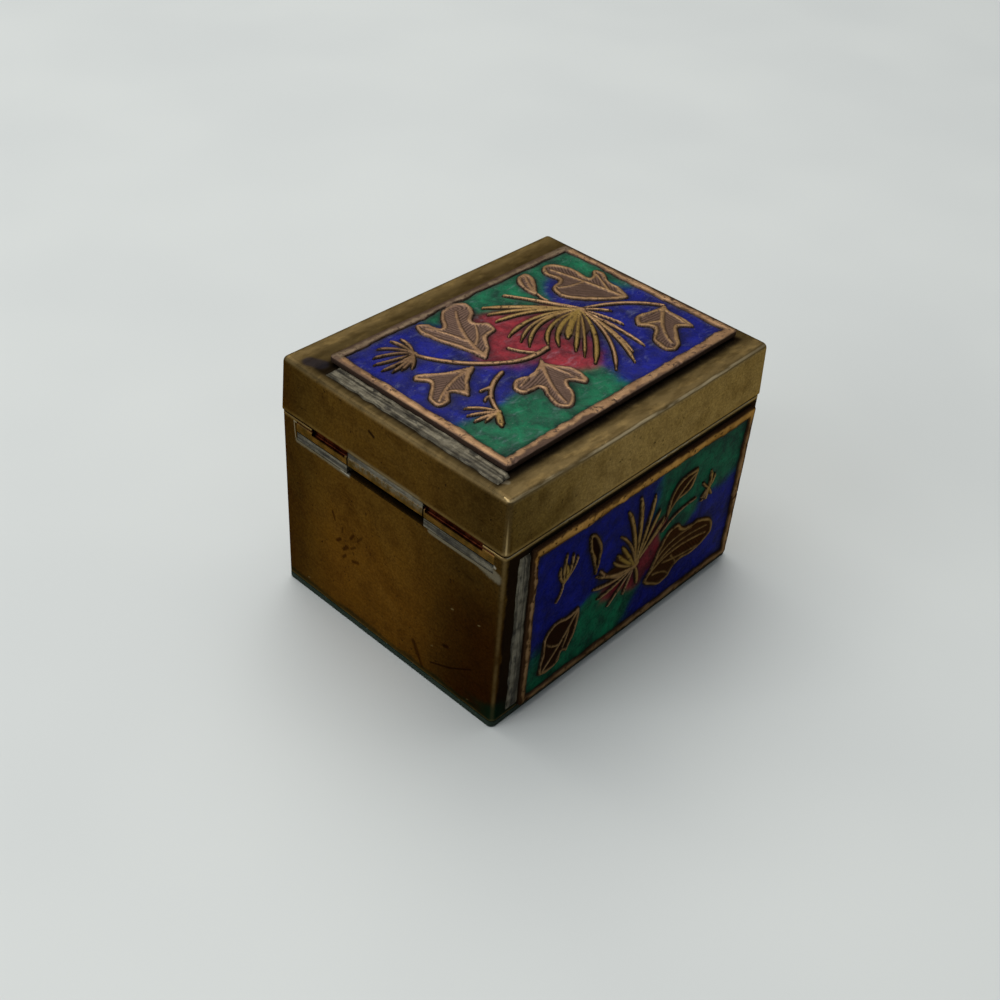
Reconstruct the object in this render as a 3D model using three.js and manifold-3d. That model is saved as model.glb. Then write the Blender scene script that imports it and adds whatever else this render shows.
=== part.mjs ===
// A small hinged box of sheet brass with champleve enamel plaques on the lid and the long sides.
// Millimetres, +Z up. X runs from the hinge end (-X) to the far end (+X), and -Y is the long side
// that is seen first. The origin is the middle of the underside of the felt.

import * as THREE from 'three';
import { mergeVertices } from 'three/addons/utils/BufferGeometryUtils.js';
import Module from 'manifold-3d';

const wasm = await Module();
wasm.setup();

// The box
const BOX_LENGTH = 50;
const BOX_WIDTH = 39.4;
const BODY_HEIGHT = 27.3;
const LID_HEIGHT = 7.85;
const WALL = 1;
const FLOOR = 1;
const LID_TOP = 1;
const LID_OVERHANG = 0.1;
const SEAM_GAP = 0.25;
const CORNER_RADIUS = 0.8;
const LID_EDGE_RADIUS = 1.1;
const FELT_THICKNESS = 1;
const CONTACT_GAP = 0.02;
const CORNER_STEPS = 2;
const LID_EDGE_STEPS = 3;
const SMALLEST_RADIUS = 0.05;
const MERGE_DISTANCE = 1e-4;

// The flush hinge, let into the end wall just under the seam
const HINGE_RADIUS = 0.9;
const HINGE_DEPTH = 0.7;
const HINGE_BELOW_SEAM = 1.25;
const HINGE_SIDES = 16;
const PIN_RADIUS = 0.35;
const PIN_CLEARANCE = 0.08;
const PIN_SIDES = 12;
const BORE_SIDES = 8;
const NOTCH_DEPTH = 3.2;
const NOTCH_FAR_MARGIN = 3;
const NOTCH_NEAR_MARGIN = 1.7;
const SLOT_FAR_MARGIN = 5.9;
const SLOT_NEAR_MARGIN = 3.6;
const LID_KNUCKLE_LENGTH = 13.2;
const LID_KNUCKLE_SHIFT = 0.4;
const KNUCKLE_GAP = 0.25;
const SOLDER_RECESS = 0.04;
const BARREL_CLEARANCE = 0.08;

// The plaque on the lid
const TOP_PLAQUE = {
  length: 43.95,
  width: 30.15,
  fromHingeEnd: 3.5,
  fromSeenSide: 3.8,
  bed: 0.45,
  bedInset: 0.7,
  height: 1.2,
  rim: 1.25,
  floor: 0.7,
  enamel: 1,
  crest: 1.26,
};

// The plaques on the two long sides
const SIDE_PLAQUE = {
  length: 44.3,
  width: 25.9,
  fromHingeEnd: 4.2,
  fromUnderside: 1.5,
  bed: 0.2,
  bedInset: 0.1,
  height: 0.7,
  rim: 1.2,
  floor: 0.3,
  enamel: 0.52,
  crest: 0.74,
};
const PLAQUE_CORNER_RADIUS = 0.5;
const PLAQUE_BEVEL = 0.16;
const RELIEF_GAP = 0.06;
const RELIEF_ROOT = 0.08;
const SHOULDER = 0.04;

// Solder left along the hinge-end edge of the plaques
const FILLET_WIDTH = 1.9;
const FILLET_HEIGHT = 0.5;
const FILLET_PAST_PLAQUE = 0.5;
const FILLET_SHORT_OF_PLAQUE = 1.7;
const FILLET_INNER_SHARE = 0.9;
const STRIP_WIDTH = 1.7;
const STRIP_HEIGHT = 0.3;
const SOLDER_WAVE = 0.22;
const SOLDER_STATIONS = 9;
const SOLDER_END = 0.4;
const SOLDER_SHOULDER = 0.6;
const SOLDER_WAVE_TURNS = [4.1, 1.7];

const metal = (color, roughness) => new THREE.MeshStandardMaterial({ color, roughness, metalness: 0.9 });
const BRASS = metal(0x6e5426, 0.45);
const HINGE_BRASS = metal(0x8a6a30, 0.4);
const RIM_BRASS = metal(0xa87a48, 0.45);
const SOLDER = metal(0x75756a, 0.6);
const ENAMEL = new THREE.MeshStandardMaterial({ color: 0x1c2a86, roughness: 0.2, metalness: 0 });
const FELT = new THREE.MeshStandardMaterial({ color: 0x0b3a22, roughness: 1, metalness: 0 });

// Solids from closed geometries, and back
function solidOf(geometry) {
  const bare = geometry.index ? geometry.toNonIndexed() : geometry.clone();
  for (const name of Object.keys(bare.attributes)) {
    if (name !== 'position') bare.deleteAttribute(name);
  }
  const merged = mergeVertices(bare, MERGE_DISTANCE);
  return new wasm.Manifold(new wasm.Mesh({
    numProp: 3,
    vertProperties: new Float32Array(merged.attributes.position.array),
    triVerts: new Uint32Array(merged.index.array),
  }));
}

function geometryOf(solid) {
  const mesh = solid.getMesh();
  const geometry = new THREE.BufferGeometry();
  geometry.setAttribute('position', new THREE.BufferAttribute(mesh.vertProperties, 3));
  geometry.setIndex(new THREE.BufferAttribute(mesh.triVerts, 1));
  geometry.computeVertexNormals();
  return geometry;
}

const joined = (solids) => solids.reduce((all, solid) => all.add(solid));
const widestPart = (solid) => solid.decompose().sort((a, b) => b.volume() - a.volume())[0];

// A rectangle with rounded corners, around the middle of its plane
function roundedRectangle(length, width, radius) {
  const x = length / 2;
  const y = width / 2;
  const shape = new THREE.Shape();
  shape.moveTo(-x + radius, -y);
  shape.lineTo(x - radius, -y);
  shape.absarc(x - radius, -y + radius, radius, -Math.PI / 2, 0);
  shape.lineTo(x, y - radius);
  shape.absarc(x - radius, y - radius, radius, 0, Math.PI / 2);
  shape.lineTo(-x + radius, y);
  shape.absarc(-x + radius, y - radius, radius, Math.PI / 2, Math.PI);
  shape.lineTo(-x, -y + radius);
  shape.absarc(-x + radius, -y + radius, radius, Math.PI, Math.PI * 1.5);
  return shape;
}

// A slab from bottom to top, its upper edge rounded by edge in the given number of steps
function slab(length, width, radius, bottom, top, edge = 0, steps = 1) {
  const corner = Math.max(radius - edge, SMALLEST_RADIUS);
  const shape = roundedRectangle(length - 2 * edge, width - 2 * edge, corner);
  const geometry = new THREE.ExtrudeGeometry(shape, {
    depth: top - bottom,
    curveSegments: CORNER_STEPS,
    bevelEnabled: edge > 0,
    bevelSize: edge,
    bevelThickness: edge,
    bevelSegments: steps,
  });
  if (edge === 0) return solidOf(geometry.translate(0, 0, bottom));
  const tall = solidOf(geometry.translate(0, 0, bottom - edge));
  const foot = block([-length, length], [-width, width], [bottom - 3 * edge, bottom]);
  return tall.subtract(foot);
}

function block([x0, x1], [y0, y1], [z0, z1]) {
  const geometry = new THREE.BoxGeometry(x1 - x0, y1 - y0, z1 - z0);
  return solidOf(geometry.translate((x0 + x1) / 2, (y0 + y1) / 2, (z0 + z1) / 2));
}

// A round bar along Y
function bar(radius, y0, y1, x, z, sides) {
  const geometry = new THREE.CylinderGeometry(radius, radius, y1 - y0, sides);
  return solidOf(geometry.translate(x, (y0 + y1) / 2, z));
}

// Levels and the hinge's place
const bodyTop = FELT_THICKNESS + CONTACT_GAP + BODY_HEIGHT;
const bodyBottom = bodyTop - BODY_HEIGHT;
const lidBottom = bodyTop + SEAM_GAP;
const lidTop = lidBottom + LID_HEIGHT;
const endFace = -BOX_LENGTH / 2;
const seenFace = -BOX_WIDTH / 2;
const insideLength = BOX_LENGTH - 2 * WALL;
const insideWidth = BOX_WIDTH - 2 * WALL;
const axisX = endFace + HINGE_DEPTH;
const axisZ = bodyTop - HINGE_BELOW_SEAM;
const notchNear = seenFace + NOTCH_NEAR_MARGIN;
const notchFar = -seenFace - NOTCH_FAR_MARGIN;
const slotNear = seenFace + SLOT_NEAR_MARGIN;
const slotFar = -seenFace - SLOT_FAR_MARGIN;
const lidKnuckleNear = LID_KNUCKLE_SHIFT - LID_KNUCKLE_LENGTH / 2;
const lidKnuckleFar = LID_KNUCKLE_SHIFT + LID_KNUCKLE_LENGTH / 2;
const notchBottom = bodyTop - NOTCH_DEPTH;
const barrelTop = axisZ + HINGE_RADIUS + BARREL_CLEARANCE;
const past = 2 * WALL;

function bodySolid() {
  const outside = slab(BOX_LENGTH, BOX_WIDTH, CORNER_RADIUS, bodyBottom, bodyTop);
  const inside = block(
    [-insideLength / 2, insideLength / 2],
    [-insideWidth / 2, insideWidth / 2],
    [bodyBottom + FLOOR, bodyTop + past],
  );
  const pocket = block([endFace - past, endFace + past], [notchNear, notchFar], [notchBottom, barrelTop]);
  const slot = block([endFace - past, endFace + past], [slotNear, slotFar], [axisZ, bodyTop + past]);
  return outside.subtract(inside).subtract(pocket).subtract(slot);
}

function lidSolid() {
  const length = BOX_LENGTH + 2 * LID_OVERHANG;
  const width = BOX_WIDTH + 2 * LID_OVERHANG;
  const radius = CORNER_RADIUS + LID_EDGE_RADIUS / 2;
  const outside = slab(length, width, radius, lidBottom, lidTop, LID_EDGE_RADIUS, LID_EDGE_STEPS);
  const inside = block(
    [-insideLength / 2, insideLength / 2],
    [-insideWidth / 2, insideWidth / 2],
    [lidBottom - past, lidTop - LID_TOP],
  );
  return outside.subtract(inside);
}

// The felt is trimmed flush with the walls
const feltSolid = () => slab(BOX_LENGTH, BOX_WIDTH, CORNER_RADIUS, 0, FELT_THICKNESS);

// The outer side of everything in the notch is filed flush with the end wall
const filedAway = (depth) => block(
  [endFace - past, endFace + depth],
  [seenFace, -seenFace],
  [notchBottom - past, lidBottom + past],
);

function knuckle(y0, y1) {
  const barrel = bar(HINGE_RADIUS, y0, y1, axisX, axisZ, HINGE_SIDES);
  const bore = bar(PIN_RADIUS + PIN_CLEARANCE, y0 - past, y1 + past, axisX, axisZ, BORE_SIDES);
  return barrel.subtract(bore).subtract(filedAway(0));
}

// Solder between a knuckle and the metal that carries it, from z0 to z1
function hingeSolder(y0, y1, z0, z1) {
  const fill = block([endFace - past, endFace + WALL], [y0, y1], [z0, z1]);
  const around = HINGE_RADIUS + BARREL_CLEARANCE;
  const barrel = bar(around, y0 - past, y1 + past, axisX, axisZ, HINGE_SIDES);
  return fill.subtract(barrel).subtract(filedAway(SOLDER_RECESS));
}

// The motifs. Each is drawn on a panel of the drawn size and stretched with the real one.
const DRAWN_LENGTH = 44.4;
const VEIN_WAVE = 0.1;
const LEAF_EDGE = 0.55;
const TOP_MOTIF = {
  drawnWidth: 30.3,
  leaves: [
    { base: [14.7, 16.6], bend: [14.3, 24.3], tip: [21.5, 28.6], half: 3.9, lobes: 2 },
    { base: [12.3, 16.9], bend: [8, 17.8], tip: [2.9, 14], half: 3.1, lobes: 2 },
    { base: [20.8, 13.1], bend: [18.8, 9.2], tip: [15.4, 3.3], half: 3.8, lobes: 2 },
    { base: [40.2, 14.8], bend: [37.2, 20.6], tip: [38.8, 27.4], half: 3.5, lobes: 2 },
    { base: [42.1, 10.3], bend: [38.2, 8.4], tip: [35.4, 3.2], half: 3.1, lobes: 2 },
    { base: [30.7, 23.2], bend: [31, 27], tip: [34.2, 28.4], half: 1.3, lobes: 0 },
  ],
  stems: [
    { from: [8.6, 23.6], bend: [11.5, 15.2], to: [22.4, 13.7], half: 0.45 },
    { from: [8.4, 9.6], bend: [10.6, 12.6], to: [14.6, 14.6], half: 0.3 },
    { from: [34.4, 17.3], bend: [38.8, 15.8], to: [41.7, 10.1], half: 0.35 },
    { from: [32.5, 17.9], bend: [31.5, 21], to: [31, 24.1], half: 0.3 },
  ],
  fans: [
    {
      hub: [32.6, 17.2], from: 138, to: 272, count: 11,
      length: 11.8, swing: 1.4, half: 0.6, curl: 0.14, start: 0.8,
    },
    {
      hub: [32.6, 17.2], from: 296, to: 346, count: 3,
      length: 4, swing: 0.6, half: 0.34, curl: 0, start: 0.8,
    },
    {
      hub: [8.6, 24.2], from: 90, to: 226, count: 6,
      length: 4.9, swing: 0.4, half: 0.36, curl: 0.1, start: 0.5,
    },
    {
      hub: [8.4, 9.2], from: 140, to: 238, count: 4,
      length: 3.7, swing: 0.5, half: 0.42, curl: 0, start: 0.4,
    },
  ],
  bosses: [
    { at: [32.6, 17.2], radius: 1.1 },
    { at: [8.6, 24.2], radius: 0.7 },
    { at: [8.4, 9.2], radius: 0.6 },
  ],
};
const FRONT_MOTIF = {
  drawnWidth: 25.9,
  leaves: [
    { base: [24, 6], bend: [31, 10.6], tip: [39.2, 7], half: 3.7, lobes: 2 },
    { base: [10.5, 10.1], bend: [7.8, 6.6], tip: [3.3, 2.8], half: 3.1, lobes: 2 },
    { base: [27.6, 16.2], bend: [28.8, 20.4], tip: [33.8, 20.5], half: 1.5, lobes: 0 },
    { base: [13.8, 14.8], bend: [13.6, 19.4], tip: [11.4, 21.8], half: 1.2, lobes: 0 },
  ],
  stems: [
    { from: [21, 11.2], bend: [15.6, 10.4], to: [13.7, 15.7], half: 0.35 },
    { from: [24.6, 13.2], bend: [27.6, 15.4], to: [34.2, 15.9], half: 0.3 },
    { from: [7.8, 17], bend: [6.6, 16.2], to: [5.4, 14.8], half: 0.25 },
  ],
  fans: [
    {
      hub: [21.4, 11.3], from: 42, to: 152, count: 8,
      length: 10, swing: 1.2, half: 0.52, curl: 0.12, start: 0.8,
    },
    {
      hub: [21.4, 11.3], from: 176, to: 296, count: 4,
      length: 5.4, swing: 2.2, half: 0.36, curl: 0.1, start: 0.8,
    },
    {
      hub: [7.8, 17.2], from: 62, to: 118, count: 3,
      length: 4.2, swing: 0.3, half: 0.34, curl: 0.1, start: 0.4,
    },
    {
      hub: [36.9, 15.9], from: 20, to: 308, count: 5,
      length: 2.3, swing: 0.2, half: 0.34, curl: 0, start: 0.5,
    },
  ],
  bosses: [
    { at: [21.4, 11.3], radius: 1.1 },
    { at: [7.8, 17.2], radius: 0.6 },
    { at: [36.9, 15.9], radius: 0.7 },
  ],
};
const BACK_MOTIF = {
  drawnWidth: 25.9,
  leaves: [
    { base: [16.6, 12.2], bend: [10.6, 16.6], tip: [5.4, 20.4], half: 3.1, lobes: 2 },
    { base: [25.2, 12.6], bend: [31, 13.6], tip: [38, 18.6], half: 3.1, lobes: 2 },
    { base: [20.3, 10.7], bend: [15.8, 6.2], tip: [9.4, 4.8], half: 2.6, lobes: 2 },
  ],
  stems: [
    { from: [15.9, 12.8], bend: [20.8, 9.4], to: [26.1, 12.9], half: 0.4 },
    { from: [21.8, 10.8], bend: [26.8, 5.4], to: [34.4, 6.6], half: 0.35 },
    { from: [20.9, 11.2], bend: [20.4, 13.6], to: [21.3, 16.1], half: 0.35 },
  ],
  fans: [
    {
      hub: [21.4, 16], from: 34, to: 146, count: 5,
      length: 6.2, swing: 0.6, half: 0.42, curl: 0.12, start: 0.6,
    },
    {
      hub: [34.4, 6.6], from: -34, to: 50, count: 3,
      length: 3.8, swing: 0.3, half: 0.34, curl: 0.1, start: 0.4,
    },
  ],
  bosses: [
    { at: [21.4, 16], radius: 0.9 },
    { at: [34.4, 6.6], radius: 0.6 },
  ],
};
const PETAL_STATIONS = 3;
const PETAL_BEND = 0.6;
const PETAL_SWING_TURN = 2.4;
const STEM_STATIONS = 3;
const LEAF_STATIONS = 8;
const PETAL_START = 0.05;
const PETAL_RUN = 0.8;
const BOSS_SIDES = 8;
const BOSS_RISE = 0.05;
const BOSS_TURN = 0.37;
const BOSS_CROWN = 0.6;
const LOBE_DEPTH = 0.2;
const LOBE_PHASE = 0.3;
const PLAIN_LEAF_SHARE = 0.94;
const NARROWEST_LEAF = 0.1;
const WIDEST_PART = 0.8;
const LEAF_FULLNESS = 0.7;

// A closed skin over rings of as many points each, flat or with a raised middle over both ends
function skin(rings, bottom, top) {
  const corners = [];
  const face = (...points) => points.forEach((point) => corners.push(...point));
  const size = rings[0].length;
  for (let i = 0; i + 1 < rings.length; i += 1) {
    for (let k = 0; k < size; k += 1) {
      const next = (k + 1) % size;
      face(rings[i][k], rings[i + 1][next], rings[i + 1][k]);
      face(rings[i][k], rings[i][next], rings[i + 1][next]);
    }
  }
  bottom(face, rings[0], false);
  top(face, rings.at(-1), true);
  const geometry = new THREE.BufferGeometry();
  geometry.setAttribute('position', new THREE.Float32BufferAttribute(corners, 3));
  return solidOf(geometry);
}

const oneWay = (face, out) => (a, b, c) => (out ? face(a, b, c) : face(a, c, b));

// A flat end of a strip
function fanEnd(face, ring, out) {
  const put = oneWay(face, out);
  for (let k = 1; k + 1 < ring.length; k += 1) put(ring[0], ring[k], ring[k + 1]);
}

// A raised strip along a flat curve, half as wide as halfWidth(t) says, from its root up to its
// shoulders and on to a crest. With no crest it is a plain upright cutter.
function strip(curve, halfWidth, stations, { root, shoulder, crest }) {
  const rings = [];
  for (let i = 0; i <= stations; i += 1) {
    const t = i / stations;
    const middle = curve.getPoint(t);
    const along = curve.getTangent(t);
    const half = halfWidth(t);
    const left = [middle.x - along.y * half, middle.y + along.x * half];
    const right = [middle.x + along.y * half, middle.y - along.x * half];
    const ridge = crest === undefined ? [] : [[middle.x, middle.y, crest]];
    rings.push([[...left, root], [...left, shoulder], ...ridge, [...right, shoulder], [...right, root]]);
  }
  return skin(rings, fanEnd, fanEnd);
}

// The round boss that petals spread from, domed or as an upright cutter
function knob(middle, radius, { root, shoulder, crest }) {
  const rings = [];
  const ring = (r, z) => Array.from({ length: BOSS_SIDES }, (_, i) => {
    const angle = (2 * Math.PI * (i + BOSS_TURN)) / BOSS_SIDES;
    return [middle.x + r * Math.cos(angle), middle.y + r * Math.sin(angle), z];
  });
  rings.push(ring(radius, root), ring(radius, shoulder));
  if (crest !== undefined) rings.push(ring(radius * BOSS_CROWN, crest + BOSS_RISE));
  return skin(rings, fanEnd, fanEnd);
}

// The way round a leaf at one height, pulled in by inset: base, right side, tip, left side back.
// The wave lifts every other point.
function leafLoop(leaf, curve, height, inset, wave = 0) {
  const share = inset / curve.getLength();
  const end = (t) => {
    const point = curve.getPoint(t);
    return [point.x, point.y, height];
  };
  const side = (i, sign) => {
    const t = i / LEAF_STATIONS;
    const along = curve.getTangent(share + t * (1 - 2 * share));
    const [x, y] = end(share + t * (1 - 2 * share));
    const wavy = LOBE_DEPTH * (Math.cos(2 * Math.PI * (leaf.lobes + 0.5) * (t - LOBE_PHASE)) - 1);
    const lobed = leaf.lobes ? 1 + wavy : PLAIN_LEAF_SHARE;
    const full = leaf.half * lobed * Math.sin(Math.PI * t ** WIDEST_PART) ** LEAF_FULLNESS;
    const half = sign * Math.max(full - inset, NARROWEST_LEAF);
    return [x + along.y * half, y - along.x * half, height + (i % 2) * wave];
  };
  const steps = Array.from({ length: LEAF_STATIONS - 1 }, (_, i) => i + 1);
  const right = steps.map((i) => side(i, 1));
  const left = steps.map((i) => side(i, -1)).reverse();
  return [end(share), ...right, end(1 - share), ...left];
}

// The end of a leaf's skin, its two sides joined over a midrib that stands up by rise
const leafEnd = (rise) => (face, ring, out) => {
  const put = oneWay(face, out);
  const n = ring.length / 2;
  const rib = (i) => {
    const [a, b] = [ring[i], ring[(2 * n - i) % (2 * n)]];
    return [(a[0] + b[0]) / 2, (a[1] + b[1]) / 2, a[2] + (i % n === 0 ? 0 : rise)];
  };
  for (let i = 0; i < n; i += 1) {
    const [a, b] = [ring[i], ring[i + 1]];
    const [c, d] = [ring[(2 * n - i) % (2 * n)], ring[2 * n - i - 1]];
    const [e, f] = [rib(i), rib(i + 1)];
    if (i + 1 < n) {
      put(a, b, f);
      put(e, f, d);
    }
    if (i > 0) {
      put(a, f, e);
      put(e, d, c);
    }
  }
};

// One panel's relief, as metal that stands on the plaque's floor, or grown into upright cutters
// that make room for it in the enamel
function relief(plaque, motif, grow) {
  const across = plaque.length / DRAWN_LENGTH;
  const up = plaque.width / motif.drawnWidth;
  const spot = ([x, y]) => new THREE.Vector2(x * across, y * up);
  const curve = (from, bend, to) => new THREE.QuadraticBezierCurve(spot(from), spot(bend), spot(to));
  const cutting = grow > 0;
  const levels = {
    root: plaque.floor - RELIEF_ROOT,
    shoulder: cutting ? plaque.height + past : plaque.enamel + SHOULDER,
    crest: cutting ? undefined : plaque.crest,
  };
  const flat = leafEnd(0);

  const stem = ({ from, bend, to, half }) => {
    const line = curve(from, bend, to);
    return strip(line, () => half + grow, STEM_STATIONS, levels);
  };

  // Petals spread from a boss, every one bent back towards the middle of the fan
  const fan = ({ hub, from, to, count, length, swing, half, curl, start }) => {
    const middle = (from + to) / 2;
    return Array.from({ length: count }, (_, i) => {
      const degrees = from + ((to - from) * i) / (count - 1);
      const angle = THREE.MathUtils.degToRad(degrees);
      const reach = length + swing * Math.cos(PETAL_SWING_TURN * i);
      const side = (curl * reach * (degrees - middle)) / (to - from);
      const away = (r, s) => [
        hub[0] + r * Math.cos(angle) - s * Math.sin(angle),
        hub[1] + r * Math.sin(angle) + s * Math.cos(angle),
      ];
      const line = curve(away(start, 0), away(reach * PETAL_BEND, 2 * side), away(reach, 0));
      const width = (t) => half * Math.sin(Math.PI * (PETAL_START + PETAL_RUN * t)) + grow;
      return strip(line, width, PETAL_STATIONS, levels);
    });
  };

  const boss = ({ at, radius }) => knob(spot(at), radius + grow, levels);

  const leaf = (shape) => {
    const line = curve(shape.base, shape.bend, shape.tip);
    const { root, shoulder, crest } = levels;
    if (cutting) {
      return skin([root, shoulder].map((z) => leafLoop(shape, line, z, -grow)), flat, flat);
    }
    const loops = [
      leafLoop(shape, line, root, 0),
      leafLoop(shape, line, crest, 0),
      leafLoop(shape, line, plaque.enamel - VEIN_WAVE, LEAF_EDGE, VEIN_WAVE),
    ];
    return skin(loops, flat, leafEnd(crest - plaque.enamel));
  };

  const { leaves, stems, fans, bosses } = motif;
  return [...leaves.map(leaf), ...stems.map(stem), ...fans.flatMap(fan), ...bosses.map(boss)];
}

// The metal of a plaque, its corner at the origin: a bed, a plate with a raised rim, and the relief
function plaqueSolid(plaque, motif) {
  const { length, width, bed, bedInset, height, rim, floor } = plaque;
  const plate = slab(length, width, PLAQUE_CORNER_RADIUS, bed, height, PLAQUE_BEVEL);
  const under = slab(length - 2 * bedInset, width - 2 * bedInset, PLAQUE_CORNER_RADIUS, 0, (bed + floor) / 2);
  const recess = slab(length - 2 * rim, width - 2 * rim, PLAQUE_CORNER_RADIUS, floor, height + past);
  const dish = plate.add(under).subtract(recess).translate([length / 2, width / 2, 0]);
  return joined([dish, ...relief(plaque, motif, 0)]);
}

// The enamel fused into a plaque's recess around its relief
function enamelSolid(plaque, motif) {
  const { length, width, rim, floor, enamel } = plaque;
  const side = 2 * (rim + RELIEF_GAP);
  const fill = slab(length - side, width - side, PLAQUE_CORNER_RADIUS, floor + CONTACT_GAP, enamel);
  const whole = fill.translate([length / 2, width / 2, 0]);
  return widestPart(whole.subtract(joined(relief(plaque, motif, RELIEF_GAP))));
}

// A run of solder of the given length along Y, its uneven outer edge towards -X. It is low there
// and thick at its inner edge, which is at x = 0.
function solderRun(length, width, height, inner) {
  const rings = [];
  for (let i = 0; i <= SOLDER_STATIONS; i += 1) {
    const y = (length * i) / SOLDER_STATIONS;
    const wave = SOLDER_WAVE * Math.sin(SOLDER_WAVE_TURNS[0] * i) * Math.cos(SOLDER_WAVE_TURNS[1] * i);
    const out = -width - wave;
    rings.push([[out, y, 0], [out * SOLDER_SHOULDER, y, height + wave / 3], [0, y, inner], [0, y, 0]]);
  }
  return skin(rings, fanEnd, fanEnd);
}

const box = new THREE.Group();

function piece(name, solid, material) {
  const mesh = new THREE.Mesh(geometryOf(solid), material);
  mesh.name = name;
  box.add(mesh);
  return mesh;
}

piece('felt_base', feltSolid(), FELT);
piece('body', bodySolid(), BRASS);
piece('lid', lidSolid(), BRASS);

// The hinge: two knuckles held by the body, one by the lid, and the pin through all three
const knuckles = {
  far: [lidKnuckleFar + KNUCKLE_GAP, notchFar - CONTACT_GAP],
  near: [notchNear + CONTACT_GAP, lidKnuckleNear - KNUCKLE_GAP],
  lid: [lidKnuckleNear, lidKnuckleFar],
};
for (const [place, [y0, y1]] of Object.entries(knuckles)) {
  const onLid = place === 'lid';
  const [z0, z1] = onLid ? [axisZ, lidBottom - CONTACT_GAP] : [notchBottom + CONTACT_GAP, axisZ];
  piece(`hinge_knuckle_${place}`, knuckle(y0, y1), HINGE_BRASS);
  piece(`hinge_solder_${place}`, hingeSolder(y0, y1, z0, z1), SOLDER);
}
const pinEnds = [notchNear + CONTACT_GAP, notchFar - CONTACT_GAP];
piece('hinge_pin', bar(PIN_RADIUS, ...pinEnds, axisX, axisZ, PIN_SIDES), HINGE_BRASS);

// The plaques, each with its enamel, set on the lid and on the two long sides
const places = {
  top: {
    plaque: TOP_PLAQUE,
    motif: TOP_MOTIF,
    at: [endFace + TOP_PLAQUE.fromHingeEnd, seenFace + TOP_PLAQUE.fromSeenSide, lidTop + CONTACT_GAP],
    turn: [0, 0, 0],
  },
  front: {
    plaque: SIDE_PLAQUE,
    motif: FRONT_MOTIF,
    at: [endFace + SIDE_PLAQUE.fromHingeEnd, seenFace - CONTACT_GAP, SIDE_PLAQUE.fromUnderside],
    turn: [Math.PI / 2, 0, 0],
  },
  back: {
    plaque: SIDE_PLAQUE,
    motif: BACK_MOTIF,
    at: [
      endFace + SIDE_PLAQUE.fromHingeEnd + SIDE_PLAQUE.length,
      CONTACT_GAP - seenFace,
      SIDE_PLAQUE.fromUnderside,
    ],
    turn: [Math.PI / 2, Math.PI, 0],
  },
};
for (const [place, { plaque, motif, at, turn }] of Object.entries(places)) {
  const parts = [
    piece(`${place}_plaque`, plaqueSolid(plaque, motif), RIM_BRASS),
    piece(`${place}_enamel`, enamelSolid(plaque, motif), ENAMEL),
  ];
  for (const mesh of parts) {
    mesh.position.set(...at);
    mesh.rotation.set(...turn);
  }
}

// Solder along the hinge-end edge of the lid's plaque and of the front one
const filletLength = TOP_PLAQUE.width + FILLET_PAST_PLAQUE - FILLET_SHORT_OF_PLAQUE;
const lidRun = solderRun(filletLength, FILLET_WIDTH, FILLET_HEIGHT, FILLET_HEIGHT * FILLET_INNER_SHARE);
const lidSolder = piece('lid_solder', lidRun, SOLDER);
lidSolder.position.set(...places.top.at).add(new THREE.Vector3(-RELIEF_GAP, -FILLET_PAST_PLAQUE, 0));
const frontRun = solderRun(SIDE_PLAQUE.width - 2 * SOLDER_END, STRIP_WIDTH, STRIP_HEIGHT, STRIP_HEIGHT);
const frontSolder = piece('front_solder', frontRun, SOLDER);
frontSolder.position.set(...places.front.at).add(new THREE.Vector3(-RELIEF_GAP, 0, SOLDER_END));
frontSolder.rotation.set(...places.front.turn);

export default box;
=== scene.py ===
"""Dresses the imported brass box: patinated sheet brass, cast plaques with their relief, glossy
enamel, solder, hinge and felt. Lengths are millimetres until a mesh is made, and the frame is the
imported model's: +Z up, the hinge at the -X end, the long side that is seen first at -Y."""

import math

import bmesh
import bpy
import numpy as np
from mathutils import Matrix, Vector


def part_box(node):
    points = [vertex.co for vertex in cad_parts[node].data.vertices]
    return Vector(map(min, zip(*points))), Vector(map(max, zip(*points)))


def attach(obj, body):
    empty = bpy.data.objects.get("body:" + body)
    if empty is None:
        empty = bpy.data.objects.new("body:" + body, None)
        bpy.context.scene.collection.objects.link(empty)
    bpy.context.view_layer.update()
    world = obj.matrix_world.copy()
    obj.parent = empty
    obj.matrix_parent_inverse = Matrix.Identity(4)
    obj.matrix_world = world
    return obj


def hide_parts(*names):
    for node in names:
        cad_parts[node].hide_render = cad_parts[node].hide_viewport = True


bl_info = {
    "name": "Champleve Enamel Box",
    "version": (1, 0, 0),
    "blender": (4, 5, 0),
    "location": "3D View > Sidebar > Enamel Box",
    "description": "A small hinged brass box with champleve enamel plaques",
    "category": "Add Mesh",
}

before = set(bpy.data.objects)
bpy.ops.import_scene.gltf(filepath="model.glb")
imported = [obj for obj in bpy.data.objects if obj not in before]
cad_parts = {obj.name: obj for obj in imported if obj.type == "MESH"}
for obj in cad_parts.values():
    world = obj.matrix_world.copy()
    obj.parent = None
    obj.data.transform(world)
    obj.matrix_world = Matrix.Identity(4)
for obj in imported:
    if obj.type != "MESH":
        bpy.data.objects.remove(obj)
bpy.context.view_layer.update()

MM = 0.001


def node_box(name):
    """The lowest and highest corner of a node of the frame, in millimetres."""
    low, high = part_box(name)
    return np.array(low) / MM, np.array(high) / MM


# ---- sizes and colours that a user may change


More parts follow.
